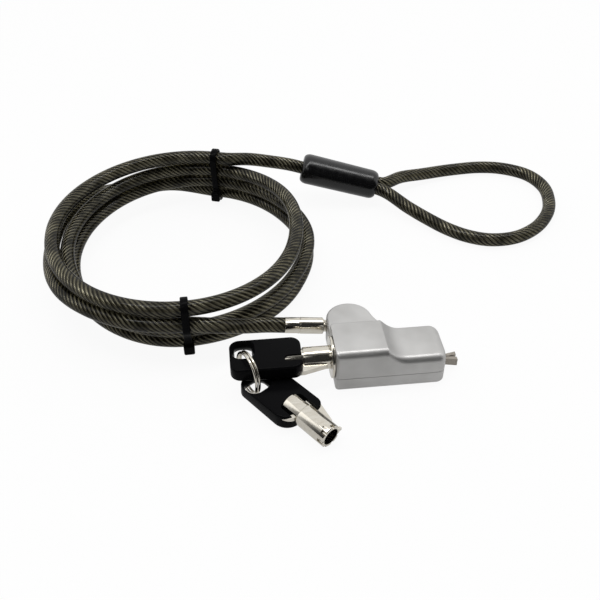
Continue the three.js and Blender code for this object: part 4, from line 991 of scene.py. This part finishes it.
# Pieces of one solid reach into each other by OVERLAP, and their faces stay FACE_GAP apart.
OVERLAP, FACE_GAP = 0.4, 0.02
# Where round the tube its end is cut for the pins, how wide, and how deep for each of them.
PIN_CIRCLE, PIN_CUT_RADIUS = 3.72, 0.62
BITTING = (2.2, 1.4, 2.6, 1.8, 2.4, 1.2, 2)
DIMPLES = ((9.9, 1.4, -3.7), (11.2, 3.9, -0.7))
DIMPLE_RADIUS, DIMPLE_DEPTH = 0.35, 0.5
# The metal insert in a rounded lobe: first angle and sweep in degrees, depth, how far it stands
# proud, half height, height over the key's axis, clearance, and the share that its tips lose.
INLAY_START, INLAY_SWEEP, INLAY_DEPTH, INLAY_PROUD = -14, 74, 1.2, 0.14
INLAY_HALF_HEIGHT, INLAY_Z, INLAY_CLEARANCE, INLAY_TIP = 0.75, -0.55, 0.06, 0.04
KEY_1 = Matrix.Translation((-29.35, 0, KEY_AXIS_HEIGHT))
KEY_2_TIP, KEY_2_YAW, KEY_2_PITCH = Vector((-23.7, -31.1, 4)), -52.6, 2.605
# How far the long lobe reaches past the head, and the rounded lobe's radius.
KEY_1_LOBES, KEY_2_LOBES = (0, 3.4), (2.2, 5.4)


def second_key_matrix():
    yaw = Matrix.Rotation(KEY_2_YAW * DEG, 4, "Z")
    pitch = Matrix.Rotation(KEY_2_PITCH * DEG, 4, "Y")
    turn = yaw @ pitch @ Matrix.Rotation(math.pi, 4, "X")
    return Matrix.Translation(KEY_2_TIP - turn @ Vector((TUBE_LENGTH, 0, 0))) @ turn


def key_blank(name, long_lobe, round_lobe, material):
    """The head before its holes are cut. It thins evenly from the lobes to the ring's end."""
    half = HEAD_WIDTH / 2

    def outline(inset):
        corner, wide = HEAD_CORNER - inset, round_lobe - inset
        return [
            *arc(long_lobe - HEAD_CORNER, HEAD_CORNER - half, corner, -90, 0, 12),
            (long_lobe - inset, -LOBE_STEP),
            (-inset, LOBE_STEP),
            *arc(-round_lobe, half - round_lobe, wide, 0, 90, 12),
            *arc(HEAD_CORNER - HEAD_LENGTH, half - HEAD_CORNER, corner, 90, 180, 12),
            *arc(HEAD_CORNER - HEAD_LENGTH, HEAD_CORNER - half, corner, 180, 270, 12),
        ]

    blank = slab(name, outline, rounded_layers(LOBE_BOTTOM, HEAD_TOP, HEAD_EDGE), material)
    lost = (HEAD_BOTTOM - LOBE_BOTTOM) / (HEAD_TOP - LOBE_BOTTOM)
    top = HEAD_TOP * MM
    for vertex in blank.data.vertices:
        left = 1 + lost * vertex.co.x / (HEAD_LENGTH * MM)
        vertex.co.z = top - (top - vertex.co.z) * left
    return blank


def ring_hole(material):
    """A rounded slot that flares towards the faces and goes on past them."""
    middle = (HEAD_BOTTOM + HEAD_TOP) / 2
    x, reach_x, reach_y = HOLE_FROM_END - HEAD_LENGTH, HOLE_WIDTH / 2, HOLE_LENGTH / 2
    steps, past = 6, 2
    rings = []
    for i in range(-steps - past, steps + past + 1):
        flare = HOLE_FLARE * abs(i / steps) ** HOLE_FLARE_BEND
        wide, long = reach_x + flare, reach_y + flare
        outline = rounded_rectangle(
            x - wide, x + wide, HOLE_OFFSET - long, HOLE_OFFSET + long, HOLE_CORNER + flare
        )
        z = middle + (HEAD_TOP - middle) * i / steps
        rings.append([(px, py, z) for px, py in outline])
    return skin("hole", rings, material)


def make_key_head(name, matrix, body, node, material, lobes):
    long_lobe, round_lobe = lobes
    head = key_blank(name, long_lobe, round_lobe, material)
    tang_low = (-NOTCH_LENGTH - TANG_LENGTH - GAP, -TANG_HALF_WIDTH - GAP / 2, -GAP / 2)
    tang_side = TANG_HALF_WIDTH - TANG_STEP + GAP / 2
    tang_high = (PAST - NOTCH_LENGTH, tang_side, TANG_THICKNESS + GAP / 2)
    fin_low = (FIN_ROOM_START, -HEAD_WIDTH / 2 - PAST, -FIN_ROOM_HALF_THICKNESS)
    fin_high = (long_lobe + PAST, 0, FIN_ROOM_HALF_THICKNESS)
    rooms = [
        ring_hole(material),
        rod("root_room", ROOT_RADIUS + ROOT_CLEARANCE, -NOTCH_LENGTH - GAP, PAST, material),
        prism("notch", rounded_rectangle(*NOTCH), LOBE_BOTTOM - PAST, 0, material),
        prism("rib_room", rounded_rectangle(*RIB_ROOM), RIB_FLOOR, HEAD_TOP + PAST, material),
        box_piece("tang_room", tang_low, tang_high, material),
        box_piece("fin_room", fin_low, fin_high, material),
        lobe_inlay("inlay_room", round_lobe, INLAY_CLEARANCE, material),
    ]
    for room in rooms:
        combine(head, room, "DIFFERENCE")
    soften(head, *GRIP_EDGE)
    place(head, matrix)
    finish_piece(head, body, "black_plastic", node)


def key_fin(material):
    """The web that runs from the head's edge down to the tube."""
    edge = -HEAD_WIDTH / 2 + FIN_SETBACK
    outline = [
        (FIN_START, edge),
        (GAP, edge),
        (FIN_END, -TUBE_RADIUS - FIN_RISE),
        (FIN_END, -TUBE_RADIUS + FIN_TUBE_DEPTH),
        (FIN_START, -ROOT_RADIUS + FIN_ROOT_DEPTH),
    ]
    return prism("fin", outline, -FIN_THICKNESS / 2, FIN_THICKNESS / 2, material)


def lobe_inlay(name, round_lobe, clearance, material):
    """A crescent of the metal insert that shows in the end of a rounded lobe."""
    steps, depth = 24, INLAY_DEPTH + clearance
    centre_y = HEAD_WIDTH / 2 - round_lobe
    rings = []
    for i in range(steps + 1):
        angle = (INLAY_START + INLAY_SWEEP * i / steps) * DEG
        swell = math.sin(math.pi * (INLAY_TIP + (1 - 2 * INLAY_TIP) * i / steps))
        tall = clearance + INLAY_HALF_HEIGHT * swell
        ring = []
        for out, z in ((-depth, -tall), (INLAY_PROUD, -tall), (INLAY_PROUD, tall), (-depth, tall)):
            x = -round_lobe + (round_lobe + out) * math.cos(angle)
            y = centre_y + (round_lobe + out) * math.sin(angle)
            ring.append((x, y, z + INLAY_Z))
        rings.append(ring)
    return skin(name, rings, material)


def bitting_cuts(material):
    """One groove in the tube's end for each pin."""
    cuts = []
    for i, depth in enumerate(BITTING):
        angle = 2 * math.pi * i / len(BITTING)
        y, z = PIN_CIRCLE * math.cos(angle), PIN_CIRCLE * math.sin(angle)
        start, end = TUBE_LENGTH - depth, TUBE_LENGTH + PAST
        cuts.append(rod("cut", PIN_CUT_RADIUS, start, end, material, y, z, segments=24))
    return cuts


def dimple_cut(along, y, z, material):
    """A small round pit, on the side of the tube that y and z point to."""
    outward = Vector((0, y, z)).normalized()
    foot = Vector((along, 0, 0)) + outward * (TUBE_RADIUS - DIMPLE_DEPTH)
    profile = [(0, DIMPLE_RADIUS), (2, DIMPLE_RADIUS)]
    return turned("dimple", profile, foot, outward, material, 20)


def make_key_shank(name, matrix, body, node, material, lobes):
    shank = rod(name, TUBE_RADIUS, GAP, TUBE_LENGTH, material, edge=TUBE_EDGE)
    bore = rod("bore", BORE_RADIUS, TUBE_LENGTH - BORE_DEPTH, TUBE_LENGTH + PAST, material)
    combine(shank, bore, "DIFFERENCE")
    nub_low = (TUBE_LENGTH - NUB_LENGTH, -NUB_RADIUS, -NUB_WIDTH / 2)
    nub_high = (TUBE_LENGTH - FACE_GAP, -BORE_RADIUS - OVERLAP, NUB_WIDTH / 2)
    combine(shank, box_piece("nub", nub_low, nub_high, material), "UNION")
    for cut in bitting_cuts(material):
        combine(shank, cut, "DIFFERENCE")
    tang_low = (-NOTCH_LENGTH - TANG_LENGTH, -TANG_HALF_WIDTH, FACE_GAP)
    tang_high = (-NOTCH_LENGTH + OVERLAP, TANG_HALF_WIDTH - TANG_STEP, TANG_THICKNESS)
    added = [
        rod("root", ROOT_RADIUS, -NOTCH_LENGTH, GAP + OVERLAP, material, edge=TUBE_EDGE),
        box_piece("tang", tang_low, tang_high, material),
        key_fin(material),
        lobe_inlay("inlay", lobes[1], 0, material),
    ]
    for piece in added:
        combine(shank, piece, "UNION")
    for dimple in DIMPLES:
        combine(shank, dimple_cut(*dimple, material), "DIFFERENCE")
    soften(shank, *METAL_EDGE)
    place(shank, matrix)
    finish_piece(shank, body, "polished_nickel", node)


# ---- split ring ----
RING_RADIUS, RING_WIRE_WIDTH, RING_WIRE_DEPTH, RING_TURN_GAP = 7.08, 1.1, 0.8, 0.3
RING_CENTRE, RING_NORMAL, RING_TURNS = Vector((-47.5, -4.19, 7.79)), Vector((1, 0.42, -0.05)), 1.9


def make_ring(material):
    """Nearly two turns of wire, with the step from one turn to the other in the last turn."""
    axis = RING_NORMAL.normalized()
    side = Vector((0, 0, 1)).cross(axis).normalized()
    up = axis.cross(side)
    steps, sides = 240, 20
    angles = [2 * math.pi * k / sides for k in range(sides)]
    rings = []
    for i in range(steps + 1):
        turn = RING_TURNS * i / steps
        share = min(max((turn - RING_TURNS + 1) / (2 - RING_TURNS), 0), 1)
        step = share * share * (3 - 2 * share) - 0.5
        out = side * math.cos(2 * math.pi * turn) + up * math.sin(2 * math.pi * turn)
        middle = RING_CENTRE + out * RING_RADIUS + axis * (RING_WIRE_DEPTH + RING_TURN_GAP) * step
        rings.append(
            [
                middle
                + out * (RING_WIRE_WIDTH / 2 * math.sin(a))
                + axis * (RING_WIRE_DEPTH / 2 * math.cos(a))
                for a in angles
            ]
        )
    finish_piece(skin("ring_wire", rings, material, 50), "ring", "polished_nickel", "split_ring")


# ---- assembly ----
def dress_nodes(materials):
    """Gives each plain solid the material of its slot."""
    for item in frame["record"]["subparts"]:
        node = frame["nodes"][item["node"]]
        material = materials[item["material_slot"]]
        if not node.material_slots:
            node.data.materials.append(material)
        for slot in node.material_slots:
            slot.material = material


make_camera()
make_world()
make_floor()
for light, setting in LIGHTS.items():
    area_light(light, *setting)
MATERIALS = {
    "satin_zinc": satin_zinc(),
    "polished_nickel": polished_nickel(),
    "plain_steel": plain_steel(),
    "brass": turned_brass(),
    "black_plastic": black_gloss("black_satin", 0.2, 0.03),
    "cable_jacket": cable_jacket(),
}
dress_nodes(MATERIALS)
BLACK, NICKEL = MATERIALS["black_plastic"], MATERIALS["polished_nickel"]
cable, route, cable_length = make_cable(MATERIALS["cable_jacket"])
sleeve = make_sleeve(black_gloss("boot_gloss", 0.2, 0.45))
ties = [
    make_tie("strap_front", FRONT_TIE, 1, "tie_front", BLACK),
    make_tie("strap_back", BACK_TIE, -1, "tie_back", BLACK),
]
make_housing(MATERIALS["satin_zinc"])
make_ferrule(NICKEL)
keys = (("key_1", KEY_1, KEY_1_LOBES), ("key_2", second_key_matrix(), KEY_2_LOBES))
for key, matrix, lobes in keys:
    make_key_head(key + "_grip", matrix, key, key + "_head", BLACK, lobes)
    make_key_shank(key + "_blade", matrix, key, key + "_shank", NICKEL, lobes)
make_ring(NICKEL)
make_barrel(NICKEL)

bpy.context.scene.view_settings.view_transform = "Standard"
